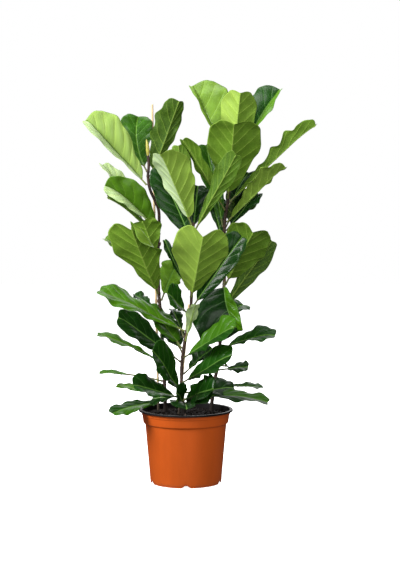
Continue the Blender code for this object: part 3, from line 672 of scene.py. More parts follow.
def leaf_stalk(tone):
    """A leaf stalk: yellow-green, and browner on old leaves and on leaves darkened as painted shade."""
    finish = Finish(f"leaf_stalk_{round(100 * tone)}")
    metres = finish.mapped("metres")
    streaks = finish.noise(finish.stretched(metres, 1.0, 9.0, 1.0), 60.0)
    base = finish.stain(blend_tones(STALK_TONES, tone), streaks, (0.35, 0.75), (0.11, 0.075, 0.03))
    speckle = finish.spots(metres, 700.0, 0.10, 0.22)
    base = finish.coat(base, speckle, 0.35, (0.25, 0.20, 0.10))
    relief = (finish.math("ADD", streaks, speckle), 0.4, 0.0004)
    return finish.done(base, finish.scaled(streaks, 0.2, 0.42), relief)


def leaf_finishes(leaf, made):
    """The materials of a leaf's upper side, underside and stalk; those already made are used again."""
    looks = (
        (leaf_upper, leaf.tone, leaf.pale),
        (leaf_lower, leaf.tone, leaf.pale_below),
        (leaf_stalk, leaf.tone),
    )
    for look in looks:
        if look not in made:
            make, *values = look
            made[look] = make(*values)
    return [made[look] for look in looks]


def bark():
    """Young bark: brown with grey bloom, pale lenticels and fine cracks, and darker near the damp soil."""
    finish = Finish("bark")
    _, _, z = finish.split(finish.place())
    clouds = finish.noise(finish.place(1.0, 1.0, 0.35), 130.0, 5.0)
    base = finish.stain((0.012, 0.005, 0.003), clouds, (0.3, 0.7), (0.055, 0.024, 0.013))
    bloom = finish.noise(finish.place(), 45.0)
    base = finish.stain(base, bloom, (0.55, 0.80, 0.0, 0.45), (0.12, 0.075, 0.045))
    lenticels = finish.spots(finish.place(1.0, 1.0, 0.55), 330.0, 0.12, 0.24)
    base = finish.coat(base, lenticels, 0.55, (0.26, 0.18, 0.10))
    crack = finish.spots(finish.place(1.0, 1.0, 0.22), 420.0, 0.0, 0.09, "DISTANCE_TO_EDGE")
    base = finish.coat(base, crack, 0.6, (0.010, 0.006, 0.004))
    base = finish.stain(base, z, (*SOILED, 0.8, 0.0), (0.006, 0.003, 0.002))
    height = finish.scaled(lenticels, 0.6, finish.scaled(crack, -0.8, clouds))
    return finish.done(base, 0.78, (height, 0.6, 0.0008))


def bamboo():
    """Dry bamboo: straw colour with brown streaks along the grain and stains, black near the soil."""
    finish = Finish("bamboo")
    _, _, z = finish.split(finish.place())
    grain = finish.noise(finish.place(1.0, 1.0, 0.03), 900.0)
    base = finish.stain((0.72, 0.56, 0.34), grain, (0.3, 0.75), (0.48, 0.33, 0.16))
    stains = finish.noise(finish.place(1.0, 1.0, 0.3), 90.0, 4.0)
    base = finish.stain(base, stains, (0.58, 0.78, 0.0, 0.6), (0.16, 0.10, 0.045))
    base = finish.stain(base, z, (*SOILED, 0.95, 0.0), (0.012, 0.007, 0.004))
    return finish.done(base, finish.scaled(grain, 0.2, 0.45), (grain, 0.4, 0.0004))


def sheath(name, color, edge):
    """The papery sheath round a new leaf, or the dry stipule that it leaves behind."""
    finish = Finish(name)
    streaks = finish.noise(finish.place(1.0, 1.0, 0.10), 500.0)
    patches = finish.noise(finish.place(), 160.0)
    base = finish.stain(color, streaks, (0.3, 0.7), edge)
    base = finish.stain(base, patches, (0.5, 0.8, 0.0, 0.5), edge)
    finish.let_light_through(base, 0.12)
    return finish.done(base, finish.scaled(patches, 0.2, 0.38), (streaks, 0.5, 0.0005))


def peat():
    """Moist crumbly potting soil with brown fibres."""
    finish = Finish("peat")
    clumps = finish.noise(finish.place(), 160.0, 5.0, 0.7)
    base = finish.stain((0.0012, 0.0008, 0.0006), clumps, (0.30, 0.75), (0.010, 0.0055, 0.0035))
    fibres = finish.noise(finish.place(1.0, 0.25, 1.0), 700.0, 2.0)
    base = finish.stain(base, fibres, (0.66, 0.76, 0.0, 0.7), (0.10, 0.060, 0.030))
    specks = finish.spots(finish.place(), 260.0, 0.06, 0.12)
    base = finish.coat(base, specks, 0.35, (0.10, 0.07, 0.05))
    return finish.done(base, finish.scaled(clumps, 0.25, 0.68), (clumps, 0.9, 0.003), Specular_IOR_Level=0.1)


def pot_plastic(name, color):
    """Moulded pot plastic: a faint orange-peel skin with fine rub marks, dust and soil near the foot."""
    finish = Finish(name)
    _, _, z = finish.split(finish.place())
    flow = finish.noise(finish.place(1.0, 1.0, 0.25), 14.0, 4.0)
    base = finish.stain(scale_color(color, 0.90), flow, (0.3, 0.7), scale_color(color, 1.08))
    rubs = finish.noise(finish.place(1.0, 1.0, 7.0), 120.0, 5.0, 0.7)
    rub = finish.band(rubs, 0.63, 0.78, 0.0, 0.35)
    base = finish.mix(rub, base, scale_color(color, 0.75, 0.09))
    dust = finish.noise(finish.place(), 70.0, 5.0, 0.65)
    dust = finish.math("MULTIPLY", dust, finish.band(z, 0.030, 0.0))
    base = finish.stain(base, dust, (0.35, 0.75, 0.0, 0.5), (0.10, 0.06, 0.04))
    peel = finish.math("ADD", finish.noise(finish.place(), 420.0, 2.0), rub)
    return finish.done(base, finish.scaled(rubs, 0.22, 0.40), (peel, 0.10, 0.0006), Specular_IOR_Level=0.15)


# ---------------------------------------------------------------- shapes


def smooth_table(table, x):
    """The values at x of a smooth curve through (x, value) pairs."""
    knots, values = np.array(table).T
    slopes = np.gradient(values, knots)
    x = np.clip(x, knots[0], knots[-1])
    i = np.clip(np.searchsorted(knots, x, side="right") - 1, 0, len(knots) - 2)
    step = knots[i + 1] - knots[i]
    t = (x - knots[i]) / step
    ends = values[i] * (1 + 2 * t) * (1 - t) ** 2 + values[i + 1] * t**2 * (3 - 2 * t)
    turns = slopes[i] * t * (1 - t) ** 2 - slopes[i + 1] * t**2 * (1 - t)
    return ends + step * turns


def smooth_route(route, spacing):
    """Points about `spacing` apart on a smooth curve through the route's points."""
    points = [Vector(p) for p in route]
    padded = [points[0], *points, points[-1]]
    found = []
    for before, start, end, after in zip(padded, padded[1:], padded[2:], padded[3:]):
        count = max(1, round((end - start).length / spacing))
        for i in range(count):
            t = i / count
            lead = 2 * before - 5 * start + 4 * end - after
            turn = 3 * start - before - 3 * end + after
            found.append(0.5 * (2 * start + (end - before) * t + lead * t**2 + turn * t**3))
    found.append(points[-1])
    return found


def cane_axis(cane, height):
    """The point of the cane's axis at this height, its direction and its radius there."""
    points = smooth_route(cane.route, ROUTE_SPACING)
    low, high = points[0].z, points[-1].z
    for start, end in zip(points, points[1:]):
        if height <= end.z or end is points[-1]:
            share = (height - start.z) / (end.z - start.z)
            radius = cane_radius(cane, (height - low) / (high - low))
            return start.lerp(end, share), (end - start).normalized(), radius


def cane_radius(cane, along):
    """The cane's radius at this share of its height."""
    return cane.foot_radius + (cane.tip_radius - cane.foot_radius) * along


def unit(vectors):
    """The same vectors with length 1."""
    return vectors / np.linalg.norm(vectors, axis=-1, keepdims=True)


def ease(share):
    """Goes smoothly from 0 to 1 as the share does, and stays there past both ends."""
    share = np.clip(share, 0.0, 1.0)
    return share * share * (3 - 2 * share)


def bell(away, reach):
    """Goes smoothly from 1, where away is 0, to almost nothing at twice the reach."""
    return np.exp(-((away / reach) ** 2))


def circles(side, other, angles):
    """At each point, unit arrows at these angles between its two directions."""
    return side[:, None] * np.cos(angles)[None, :, None] + other[:, None] * np.sin(angles)[None, :, None]


def make_piece(name, points, faces, finishes, face_finish=None, maps=None):
    """A smooth-shaded object from points and faces, with its materials and its UV maps by point."""
    mesh = bpy.data.meshes.new(name)
    mesh.from_pydata([tuple(p) for p in points], [], faces)
    for finish in finishes:
        mesh.materials.append(finish)
    if face_finish is not None:
        mesh.polygons.foreach_set("material_index", np.asarray(face_finish, dtype=np.int32))
    corners = np.empty(len(mesh.loops), dtype=np.int32)
    mesh.loops.foreach_get("vertex_index", corners)
    for map_name, values in (maps or {}).items():
        layer = mesh.uv_layers.new(name=map_name)
        layer.data.foreach_set("uv", np.asarray(values, dtype=np.float32)[corners].ravel())
    mesh.shade_smooth()
    mesh.update()
    return add_object(name, mesh)


def add_object(name, data, place=(0.0, 0.0, 0.0), turn=(0.0, 0.0, 0.0)):
    """An object in the scene with this data, place and turn."""
    obj = bpy.data.objects.new(name, data)
    obj.location = place
    obj.rotation_euler = turn
    bpy.context.scene.collection.objects.link(obj)
    return obj


def ring_faces(rings, sides):
    """Quads between rings of points; they face outwards if the rings run clockwise round their route."""
    faces = []
    for start in range(0, (rings - 1) * sides, sides):
        for j in range(sides):
            k = (j + 1) % sides
            faces.append((start + j, start + sides + j, start + sides + k, start + k))
    return faces


def end_caps(rings, sides):
    """One face over the first ring of points and one over the last."""
    last = (rings - 1) * sides
    return [tuple(range(sides)), tuple(reversed(range(last, last + sides)))]


def settle(piece, slot, *nodes):
    """The piece rides on the plant and stands for these solids; its slot is not used."""
    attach(piece, "root")
    if nodes:
        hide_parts(*nodes)


# ---------------------------------------------------------------- leaves


class Midrib:
    """A leaf's centre line from its cane to its tip, with the directions across it."""

    SAMPLES = 160

    def __init__(self, cane, leaf):
        axis, up, radius = cane_axis(cane, leaf.height)
        tip = Vector(leaf.tip)
        through = (axis + tip) / 2 + Vector(leaf.bow)
        control = 2 * through - (axis + tip) / 2
        leave = (control - axis).normalized()
        outward = (leave - leave.dot(up) * up).normalized()
        start = axis + outward * (radius + GAP + PETIOLE_RADIUS * abs(leave.dot(up)))
        t = np.linspace(0.0, 1.0, self.SAMPLES)[:, None]
        start, control, tip = (np.array(p) for p in (start, control, tip))
        self.points = (1 - t) ** 2 * start + 2 * t * (1 - t) * control + t**2 * tip
        heading = unit((1 - t) * (control - start) + t * (tip - control))
        lean, roll = math.radians(leaf.lean), math.radians(leaf.roll)
        flat = np.array((-math.sin(lean), math.cos(lean), 0.0))
        side = unit(flat - (heading @ flat)[:, None] * heading)
        upper = np.cross(heading, side)
        self.side = side * math.cos(roll) + upper * math.sin(roll)
        self.upper = np.cross(heading, self.side)
        steps = np.linalg.norm(np.diff(self.points, axis=0), axis=1)
        self.distances = np.concatenate(([0.0], np.cumsum(steps)))
        self.length = self.distances[-1]

    def at(self, distance):
        """The points at these distances from the cane, with the side and upper directions there."""
        found = []
        for values in (self.points, self.side, self.upper):
            parts = [np.interp(distance, self.distances, values[:, k]) for k in range(3)]
            found.append(np.stack(parts, axis=-1))
        return found[0], unit(found[1]), unit(found[2])


def vein_rows(blade_length):
    """The rows of a blade's grid from 0 to near 1, and how many side veins they cross by then."""
    count = int(np.clip(round(blade_length / VEIN_SPACING), *VEIN_COUNTS))
    crossed = [k + step for k in range(count) for step in VEIN_STEPS] + [count]
    rows = [VEIN_END * (c / count) ** VEIN_CROWDING for c in crossed]
    crossed += [count + (row - VEIN_END) / VEIN_END * count for row in TIP_STEPS]
    return np.array(rows + list(TIP_STEPS)), np.array(crossed)


def cross_section(leaf, row, half):
    """How far each point of a blade lies from the midrib, outwards and upwards.

    Each half leaves the midrib steeply, flattens on its way out and may roll up at its margin.
    """
    slope = math.radians(leaf.fold) + FLARE * (0.5 - HALF_COLUMNS)
    start, end = leaf.furl_turn
    rolled = ease((HALF_COLUMNS - start) / (end - start))
    parts = []
    for furl in leaf.furl:
        angle = slope + math.radians(furl) * rolled * ease((row[:, :1] - leaf.furl_row) / FURL_EASE)
        steps = np.diff(HALF_COLUMNS) * np.exp(1j * (angle[:, 1:] + angle[:, :-1]) / 2)
        parts.append(np.concatenate((np.zeros((len(row), 1)), np.cumsum(steps, axis=1)), axis=1))
    path = half * np.concatenate((parts[0][:, :0:-1], parts[1]), axis=1)
    return path.real, path.imag


def blade_rise(leaf, row, out, column, along, from_vein, turn, blade):
    """How far the blade rises: puffs between its side veins, wavy margins, a bent tip, a wobble."""
    size = leaf.width / USUAL_BLADE_WIDTH
    belly = np.sin(np.pi * out) ** 0.8 * (0.4 + 0.6 * out)
    puff = PUFF_HEIGHT * leaf.ribbed * size * (2 * from_vein) ** 0.7 * belly * np.clip(row / 0.15, 0, 1)
    margin = leaf.wave * out**2.5 * (np.sin(turn) + 0.45 * np.sin(2.3 * turn + 1.7 * np.sign(column)))
    margin = margin * ease(row / 0.2) * ease((1.02 - along) / 0.22)
    tip_bend = leaf.curl * blade * (np.clip((along - CURL_START) / (1 - CURL_START), 0, 1.2) ** 2)
    wobble = np.sin(7.1 * along + 5 * leaf.phase) * np.sin(3.3 * column + 2 * leaf.phase)
    return puff + margin - tip_bend + WOBBLE_HEIGHT * size * wobble * np.clip(row / 0.2, 0, 1)


def vein_relief(row, out, across, from_vein, vein_spacing):
    """How far the midrib and the side veins stand out below, and how far the skin rises above."""
    rib = bell(across, 0.0020 - 0.0010 * row)
    on_vein = bell(from_vein * vein_spacing, VEIN_HALF_WIDTH) * np.clip(row / 0.04, 0, 1)
    on_vein = on_vein * np.clip(1 - out, 0, 1) ** 0.5
    below = PETIOLE_RADIUS * (0.22 + 0.78 * (1 - row) ** 1.6) * rib + VEIN_HEIGHT_BELOW * on_vein
    above = PETIOLE_RADIUS * np.clip(1 - row / 0.10, 0, 1) * rib
    above = above - RIB_DEPTH_ABOVE * rib * np.clip(row / 0.1, 0, 1) - VEIN_DEPTH_ABOVE * on_vein
    return below, above


def blade_skins(leaf, midrib):
    """The blade's upper and lower skins as grids of points, with the maps that its veins follow."""
    blade = midrib.length - leaf.petiole
    rows, crossed = vein_rows(blade)
    columns = np.concatenate((-HALF_COLUMNS[:0:-1], HALF_COLUMNS))
    row, column = np.meshgrid(rows, columns, indexing="ij")
    vein = np.broadcast_to(crossed[:, None], row.shape)
    out = np.abs(column)
    sign = np.where(column < 0, -1.0, 1.0)

    edge = 1 - (1 - row) ** VEIN_SWEEP
    along = row + (edge - row) * out**VEIN_CURVE
    turn = 2 * np.pi * (leaf.waves * along + leaf.phase + 0.37 * sign)
    settled = ease(edge / 0.3) * ease((1 - edge) / 0.25)
    share = smooth_table(OUTLINE, edge ** (math.log(USUAL_WIDEST) / math.log(leaf.widest)))
    half = leaf.width / 2 * share * (1 + leaf.scallop * np.sin(1.3 * turn + 1.0) * settled)
    half = half * np.where(column < 0, *leaf.halves)
    near_tip = ease((row - TIP_NOTCH_START) / (1 - TIP_NOTCH_START))
    along = along - leaf.notch * near_tip * bell(share * out, TIP_NOTCH_SPREAD)
    distance = leaf.petiole + blade * along
    place, side, upper = midrib.at(distance)
    reach, rise = cross_section(leaf, row, half)
    from_vein = np.abs(vein - np.round(vein))
    rise = rise + blade_rise(leaf, row, out, column, along, from_vein, turn, blade)
    middle = place + side * (sign * reach)[..., None] + upper * rise[..., None]

    normal = unit(np.cross(np.gradient(middle, axis=0), np.gradient(middle, axis=1)))
    across = half * column
    vein_spacing = blade * VEIN_END / crossed[rows <= VEIN_END][-1]
    below, above = vein_relief(row, out, across, from_vein, vein_spacing)
    skin = BLADE_THICKNESS / 2 * np.sqrt(np.clip(1 - out**6, 0, 1))
    upper_skin = middle + normal * (skin + above)[..., None]
    lower_skin = middle - normal * (skin + below)[..., None]
    return upper_skin, lower_skin, np.stack((vein, column), axis=-1), np.stack((distance, across), axis=-1)


def build_leaf(name, cane, leaf, finishes):
    """A leaf as one closed skin: its round stalk lofted into its blade."""
    midrib = Midrib(cane, leaf)
    upper, lower, veins, metres = blade_skins(leaf, midrib)
    blade_rings = np.concatenate((upper, lower[:, -2:0:-1]), axis=1)
    veins = np.concatenate((veins, veins[:, -2:0:-1]), axis=1)
    metres = np.concatenate((metres, metres[:, -2:0:-1]), axis=1)
    sides = blade_rings.shape[1]

    stalk_steps = np.linspace(0.0, STALK_SHARE * leaf.petiole, STALK_RINGS)
    place, side, up = midrib.at(stalk_steps)
    angles = math.pi - np.arange(sides) * 2 * math.pi / sides
    flare = 1 + STALK_FLARE * np.exp(-stalk_steps / STALK_FLARE_LENGTH)
    stalk_rings = place[:, None] + (PETIOLE_RADIUS * flare)[:, None, None] * circles(side, up, angles)
    stalk_veins = np.zeros((STALK_RINGS, sides, 2))
    stalk_metres = np.stack(np.meshgrid(stalk_steps, PETIOLE_RADIUS * angles, indexing="ij"), axis=-1)

    points = np.concatenate((stalk_rings, blade_rings)).reshape(-1, 3)
    maps = {
        "veins": np.concatenate((stalk_veins, veins)).reshape(-1, 2),
        "metres": np.concatenate((stalk_metres, metres)).reshape(-1, 2),
    }
    count = STALK_RINGS + len(blade_rings)
    faces = ring_faces(count, sides)
    half = sides // 2
    kinds = [2] * (STALK_RINGS * sides) + ([0] * half + [1] * (sides - half)) * (len(blade_rings) - 1)
    last = (count - 1) * sides
    for j in range(half):
        corners = (last + j, last + (sides - j) % sides, last + sides - j - 1, last + j + 1)
        faces.append(tuple(dict.fromkeys(corners)))
        kinds.append(0)
    faces.append(tuple(range(sides)))
    kinds.append(2)
    return make_piece(f"fine_leaf_{name}", points, faces, finishes, kinds, maps)


# ---------------------------------------------------------------- canes, stakes and bud


def swept(route, radii, sides):
    """Rings of points round a route that runs mostly upwards; radii is a row for each point."""
    route = np.array([tuple(p) for p in route])
    heading = unit(np.gradient(route, axis=0))
    flat = np.array((1.0, 0.0, 0.0))
    side = unit(flat - (heading @ flat)[:, None] * heading)
    angles = -np.arange(sides) * 2 * math.pi / sides
    return route[:, None] + radii[..., None] * circles(side, np.cross(heading, side), angles)


def build_tube(name, rings, finish):
    """A closed tube through rings of points."""
    count, sides = rings.shape[:2]
    faces = ring_faces(count, sides) + end_caps(count, sides)
    return make_piece(name, rings.reshape(-1, 3), faces, [finish])


def add_rings(radii, place, nodes, ring, groove):
    """Raises a ring round a stem at each of its nodes, and sinks a groove above it."""
    for node in nodes:
        radii += ring[0] * bell(place - node, ring[1])
        radii -= groove[0] * bell(place - node - groove[2], groove[1])


def cane_nodes(name):
    """Heights of a cane's nodes: one at each leaf and scars of lost leaves away from them."""
    heights = [leaf.height for leaf in LEAVES[name]]
    lost = [z for z in LEAF_SCARS[name] if all(abs(z - h) > SCAR_CLEARANCE for h in heights)]
    return sorted(heights + lost)


def build_cane(name, cane, finish):
    """A cane with a swollen ring and a groove at each node, uneven between them, and a blunt tip."""
    foot = Vector((*cane.route[0][:2], SOIL_TOP - ROOT_DEPTH))
    straight = [foot.lerp(Vector(cane.route[0]), k / ROOT_STEPS) for k in range(ROOT_STEPS)]
    fine = smooth_route(cane.route, CANE_SPACING)
    route = straight + fine
    place = np.array([point.z for point in route])
    low, high = fine[0].z, fine[-1].z
    radii = cane_radius(cane, np.maximum(0.0, (place - low) / (high - low)))
    radii += ROOT_FLARE * np.exp(-np.maximum(0.0, place - SOIL_TOP) / ROOT_FLARE_HEIGHT)
    add_rings(radii, place, cane_nodes(name), CANE_RING, CANE_GROOVE)
    angles = np.arange(CANE_SIDES) * 2 * math.pi / CANE_SIDES
    bumps = [[noise.noise(Vector((math.cos(a), math.sin(a), CANE_GRAIN * z))) for a in angles] for z in place]
    radii = radii[:, None] + CANE_UNEVENNESS * np.array(bumps)
    radii[-3:] *= np.array(CANE_TIP_SHARES)[:, None]
    return build_tube(f"fine_cane_{name}", swept(route, radii, CANE_SIDES), finish)


def build_stake(name, stake, finish):
    """A bamboo stake with ringed joints, slightly thicker at its foot."""
    surface, top = (Vector(p) for p in stake)
    foot = surface - (top - surface).normalized() * ROOT_DEPTH
    length = (top - foot).length
    count = round(length / STAKE_STEP)
    steps = np.arange(count + 1) / count
    joints = [0.05 + 0.105 * k + 0.012 * math.sin(5.0 * k) for k in range(int(length / 0.1))]
    radii = STAKE_RADIUS * (1.02 - 0.10 * steps)
    add_rings(radii, steps * length, joints, STAKE_RING, STAKE_GROOVE)
    radii[[0, -1]] *= 0.8
    route = [foot.lerp(top, step) for step in steps]
    return build_tube(f"fine_stake_{name}", swept(route, radii[:, None], STAKE_SIDES), finish)


def build_spear(name, base, direction, length, radius, finish, curl=0.15):
    """A rolled leaf bud or a dry stipule: a pointed spear with an overlapping seam."""
    direction = Vector(direction).normalized()
    sideways = direction.cross(Vector((0.0, 1.0, 0.0))).normalized()
    steps = np.linspace(0.0, 1.0, SHEATH_STEPS)
    route = [base + direction * length * t + sideways * curl * length * t * t for t in steps]
    angles = np.arange(SHEATH_SIDES) * 2 * math.pi / SHEATH_SIDES
    body = np.sin(math.pi * np.clip(0.16 + 0.84 * steps, 0, 1)) ** 0.75 + 0.02
    seam = 1 + SHEATH_SEAM * ((angles[None, :] / (2 * math.pi) + 0.5 * steps[:, None]) % 1.0)
    radii = radius * body[:, None] * seam / (1 + SHEATH_SEAM)
    return build_tube(name, swept(route, radii, SHEATH_SIDES), finish)


def build_stipule(number, cane, height, direction, length, finish):
    """A dry stipule that stands beside its cane."""
    axis, _, radius = cane_axis(CANES[cane], height)
    turn = math.radians(direction)
    outward = Vector((math.cos(turn), math.sin(turn), 0.0))
    aim = Vector((0.0, 0.0, 1.0)) + 0.45 * outward
    foot = axis + 0.8 * radius * outward
    return build_spear(f"fine_stipule_{number}", foot, aim, length, STIPULE_RADIUS, finish)


# ---------------------------------------------------------------- pot and soil


def rounded(profile, size):
    """The profile with each corner replaced by a short curve."""
    points = [np.array(p) for p in profile]
    found = [points[0]]
    for before, corner, after in zip(points, points[1:], points[2:]):
        near = min(size, 0.4 * np.linalg.norm(corner - before))
        far = min(size, 0.4 * np.linalg.norm(after - corner))
        start = corner + unit(before - corner) * near
        end = corner + unit(after - corner) * far
        for t in (0, 0.25, 0.5, 0.75, 1):
            found.append((1 - t) ** 2 * start + 2 * t * (1 - t) * corner + t * t * end)
    found.append(points[-1])
    return found


def split_long(profile, longest):
    """The profile with its long straight runs cut into shorter ones."""
    found = [profile[0]]
    for start, end in zip(profile, profile[1:]):
        count = max(1, math.ceil(np.linalg.norm(end - start) / longest))
        found += [start + (end - start) * k / count for k in range(1, count + 1)]
    return found


def pot_inside():
    """The pot's inner section as (radius, z), from the centre of its floor up to the lip."""
    channel_top = CHANNEL_HEIGHT + POT_WALL
    collar_inside = COLLAR_TOP_RADIUS - POT_WALL
    return [
        (0.0004, POT_WALL),
        (CHANNEL_INNER - POT_WALL, POT_WALL),
        (CHANNEL_INNER + 0.0034, channel_top),
        (CHANNEL_OUTER + 0.0030, channel_top),
        (BASE_RADIUS - POT_WALL + 0.0008, channel_top + 0.0030),
        (BODY_TOP_RADIUS - POT_WALL, BODY_TOP_Z),
        (COLLAR_BASE_RADIUS - POT_WALL, COLLAR_BASE_Z + 0.0008),
        (collar_inside - 0.0010, COLLAR_LEDGE_Z),
        (collar_inside, POT_HEIGHT - 0.0016),
        (collar_inside + 0.0010, POT_HEIGHT),
    ]


def pot_inside_radius(z):
    """The radius of the pot's inner wall at this height."""
    wall = pot_inside()[4:]
    return float(np.interp(z, [height for _, height in wall], [radius for radius, _ in wall]))


def pot_outside():
    """The pot's outer section as (radius, z), from the top of the lip down to the foot."""
    lip_base = POT_HEIGHT - LIP_DEPTH
    return [
        (LIP_RADIUS - 0.0004, POT_HEIGHT),
        (LIP_RADIUS, lip_base),
        (COLLAR_TOP_RADIUS + 0.0006, lip_base - 0.0003),
        (COLLAR_TOP_RADIUS - 0.0002, COLLAR_LEDGE_Z),
        (COLLAR_TOP_RADIUS - 0.0014, COLLAR_LEDGE_Z - 0.0006),
        (COLLAR_BASE_RADIUS, COLLAR_BASE_Z),
        (BODY_TOP_RADIUS + 0.0004, BODY_TOP_Z + 0.0004),
        (BODY_TOP_RADIUS - 0.0002, BODY_TOP_Z - 0.0030),
        (BASE_RADIUS + 0.0009, 0.0055),
        (BASE_RADIUS + 0.0001, 0.0042),
        (BASE_RADIUS, 0.0),
    ]


def pot_underside():
    """The pot's underside as (radius, z), from the foot of the wall to the flat centre."""
    return [
        (BASE_RADIUS - POT_WALL, 0.0),
        (CHANNEL_OUTER + 0.0030, CHANNEL_HEIGHT - 0.0016),
        (CHANNEL_OUTER, CHANNEL_HEIGHT),
        (CHANNEL_INNER + 0.0050, CHANNEL_HEIGHT),
        (CHANNEL_INNER, 0.0),
        (0.0004, 0.0),
    ]


def pot_profile():
    """The pot's whole section with small round corners, cut into short steps."""
    whole = rounded(pot_inside() + pot_outside() + pot_underside(), POT_ROUNDING)
    return split_long(whole, POT_STEP)


def notch_lift(angle):
    """How high the foot of the wall is cut away at this angle."""
    step = 2 * math.pi / NOTCH_COUNT
    away = abs((angle - NOTCH_FRONT_ANGLE + step / 2) % step - step / 2) * BASE_RADIUS
    share = np.clip(1 - away / NOTCH_HALF_WIDTH, 0.0, 1.0)
    return NOTCH_HEIGHT * min(1.0, 1.15 * share**1.15)


def build_pot(outer, inner):
    """The nursery pot as one turned skin, its wall arched over the drainage notches.

    Its profile starts on the inside, so its rings run the other way round than those of a solid rod.
    """
    profile = pot_profile()
    count = len(profile)
    foot = BASE_RADIUS - POT_WALL - 0.0005
    points = np.zeros((count, POT_SIDES, 3))
    for j in range(POT_SIDES):
        angle = 2 * math.pi * j / POT_SIDES
        lift = notch_lift(angle)
        for k, (radius, z) in enumerate(profile):
            if radius > foot and z < NOTCH_REACH:
                z = lift + z * (NOTCH_REACH - lift) / NOTCH_REACH
            points[k, j] = (radius * math.cos(angle), radius * math.sin(angle), z)
    faces = ring_faces(count, POT_SIDES)
    top = max(range(count), key=lambda k: profile[k][1])
    lip_end = next(k for k in range(top, count) if profile[k][1] < POT_HEIGHT - LIP_DEPTH - 0.0004)
    kinds = [1 if k < lip_end else 0 for k in range(count - 1) for _ in range(POT_SIDES)]
    faces += end_caps(count, POT_SIDES)
    return make_piece("fine_pot", points.reshape(-1, 3), faces, [outer, inner], kinds + [1, 0])


def soil_height(x, y):
    """The height of the crumbly soil surface."""
    point = Vector((x, y, 0.0))
    clods = noise.noise(point * 70) + 0.5 * noise.noise(point * 170) + 0.25 * noise.noise(point * 420)
    radius = math.hypot(x, y)
    crown = 0.003 * (1 - (radius / 0.109) ** 2)
    return SOIL_TOP - 0.0005 + crown + 0.0026 * clods


def build_soil(finish):
    """Crumbly soil that fills the pot, with loose crumbs lying on its uneven top."""
    inside = [p for p in pot_inside() if p[1] < SOIL_TOP - 0.004]
    wall = [(radius - SOIL_GAP, z + SOIL_GAP) for radius, z in inside[1:]]
    base = [(0.002, inside[0][1] + SOIL_GAP)]
    edge = pot_inside_radius(SOIL_TOP) - SOIL_GAP
    top = [(edge * step, None) for step in np.linspace(1.0, 0.004, 60)]
    points = []
    for radius, z in base + wall + top:
        for j in range(SOIL_SIDES):
            angle = -2 * math.pi * j / SOIL_SIDES
            x, y = radius * math.cos(angle), radius * math.sin(angle)
            points.append((x, y, soil_height(x, y) if z is None else z))
    count = len(points) // SOIL_SIDES
    faces = ring_faces(count, SOIL_SIDES) + end_caps(count, SOIL_SIDES)
    add_crumbs(points, faces, edge)
    return make_piece("fine_soil", points, faces, [finish])


def add_crumbs(points, faces, edge):
    """Adds loose crumbs of soil and bark to these points and faces."""
    random.seed(7)
    corners, sides = crumb_shape()
    for _ in range(CRUMB_COUNT):
        radius = 0.97 * edge * math.sqrt(random.random())
        angle = random.uniform(0, 2 * math.pi)
        x, y = radius * math.cos(angle), radius * math.sin(angle)
        size = random.uniform(*CRUMB_SIZES)
        stretch = Vector((random.uniform(0.7, 1.6), random.uniform(0.6, 1.2), random.uniform(0.5, 0.9)))
        turn = Matrix.Rotation(random.uniform(0, 2 * math.pi), 3, "Z")
        middle = Vector((x, y, soil_height(x, y) + 0.25 * size))
        first = len(points)
        for corner in corners:
            uneven = 1 + 0.3 * noise.noise(corner * 2.1 + middle * 400)
            points.append(tuple(middle + turn @ (corner * stretch) * size * uneven))
        faces += [tuple(first + k for k in face) for face in sides]


def crumb_shape():
    """The corners and faces of a small ball of 20 triangles."""
    ball = bmesh.new()
    bmesh.ops.create_icosphere(ball, subdivisions=1, radius=1.0)
    corners = [vert.co.copy() for vert in ball.verts]
    sides = [tuple(vert.index for vert in face.verts) for face in ball.faces]
    ball.free()
    return corners, sides


# ---------------------------------------------------------------- the setting


def build_floor():
    """A wide pale floor, lit from inside like a light table, that throws no light back at the leaves."""
    finish = Finish("floor")
    white = finish.done((0.92, 0.92, 0.92), 0.9, Emission_Color=(1.0, 1.0, 1.0), Emission_Strength=FLOOR_GLOW)
    corners = [(x * FLOOR_SIZE, y * FLOOR_SIZE, 0.0) for x, y in ((-1, -1), (1, -1), (1, 1), (-1, 1))]
    floor = make_piece("floor", corners, [(0, 1, 2, 3)], [white])
    floor.visible_diffuse = False
    floor.visible_glossy = False


def add_softbox(name, place, aim_height, size, power):
    """A square studio light that faces a point above the middle of the pot."""
    data = bpy.data.lights.new(name, "AREA")
    data.shape = "SQUARE"
    data.size = size
    data.energy = power
    aim = Vector((0.0, 0.0, aim_height)) - Vector(place)
    add_object(name, data, place, aim.to_track_quat("-Z", "Y").to_euler())


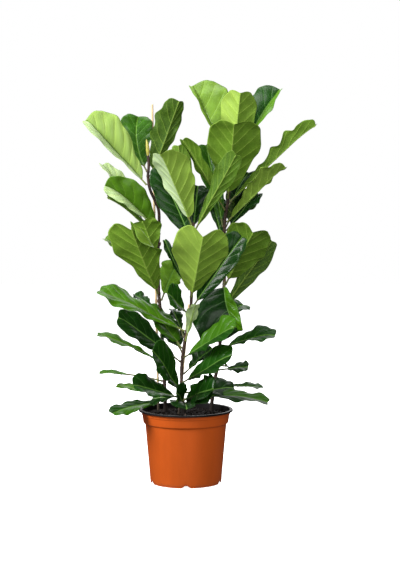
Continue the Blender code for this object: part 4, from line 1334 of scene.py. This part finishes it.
def light_room():
    """A white room that lights the plant gently, with the strongest light from the upper left."""
    world = bpy.data.worlds.new("studio")
    world.use_nodes = True
    room = Nodes(world.node_tree)
    ray = room.node("LightPath").outputs
    mirrored = {"Value": ray["Is Glossy Ray"], "To Min": WORLD_LIGHT, "To Max": WORLD_MIRRORED}
    unseen = room.node("MapRange", mirrored).outputs[0]
    seen = {"Value": ray["Is Camera Ray"], "To Min": unseen, "To Max": 1.0}
    glow = room.tree.nodes["Background"].inputs
    room.feed(glow["Strength"], room.node("MapRange", seen).outputs[0])
    room.feed(glow["Color"], (1.0, 1.0, 1.0))
    bpy.context.scene.world = world
    for softbox in SOFTBOXES:
        add_softbox(*softbox)
    view = bpy.context.scene.view_settings
    view.view_transform = "Standard"
    view.look = "None"


def add_camera():
    """The camera, level with the leaves and looking slightly down."""
    data = bpy.data.cameras.new("camera")
    data.lens = CAMERA_LENS
    data.sensor_width = 36.0
    turn = (math.pi / 2 - CAMERA_TILT, 0.0, 0.0)
    bpy.context.scene.camera = add_object("camera", data, CAMERA_PLACE, turn)


# ---------------------------------------------------------------- the plant


def build_wood():
    """The canes, their stakes, the bud, the stipules and the broken stub."""
    skin = bark()
    for name, cane in CANES.items():
        settle(build_cane(name, cane, skin), "bark", f"cane_{name}")
    straw = bamboo()
    for name, stake in STAKES.items():
        settle(build_stake(name, stake, straw), "bamboo", f"stake_{name}")
    base = Vector(CANES["left"].route[-1]) - Vector((0, 0, 0.004))
    young = sheath("bud_sheath", *YOUNG_SHEATH)
    bud = build_spear("fine_bud_left", base, (0.05, 0, 1), *BUD_SIZE, young)
    settle(bud, "bud", "bud_left")
    dry = sheath("dry_sheath", *DRY_SHEATH)
    for k, stipule in enumerate(STIPULES, 1):
        settle(build_stipule(k, *stipule, dry), "bark")
    settle(build_spear("fine_stub", Vector(STUB), (0.1, 0.0, 1.0), *STUB_SIZE, dry, 0.0), "bark")


def build_leaves():
    """Every leaf, named by its cane and its row there; the last rows of a cane have no solid."""
    made = {}
    for cane, leaves in LEAVES.items():
        for number, leaf in enumerate(leaves, 1):
            name = f"{cane}_{number:02d}"
            slot = "leaf_mature"
            if leaf.tone > YOUNG_ABOVE:
                slot = "leaf_young"
            elif leaf.tone < OLD_BELOW:
                slot = "leaf_old"
            nodes = {f"leaf_{name}"} & set(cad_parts)
            settle(build_leaf(name, CANES[cane], leaf, leaf_finishes(leaf, made)), slot, *nodes)


def main():
    add_camera()
    light_room()
    build_floor()
    outer = pot_plastic("terracotta_plastic", TERRACOTTA)
    inner = pot_plastic("black_plastic", BLACK)
    settle(build_pot(outer, inner), "pot_plastic", "pot")
    settle(build_soil(peat()), "soil", "soil")
    build_wood()
    build_leaves()


main()
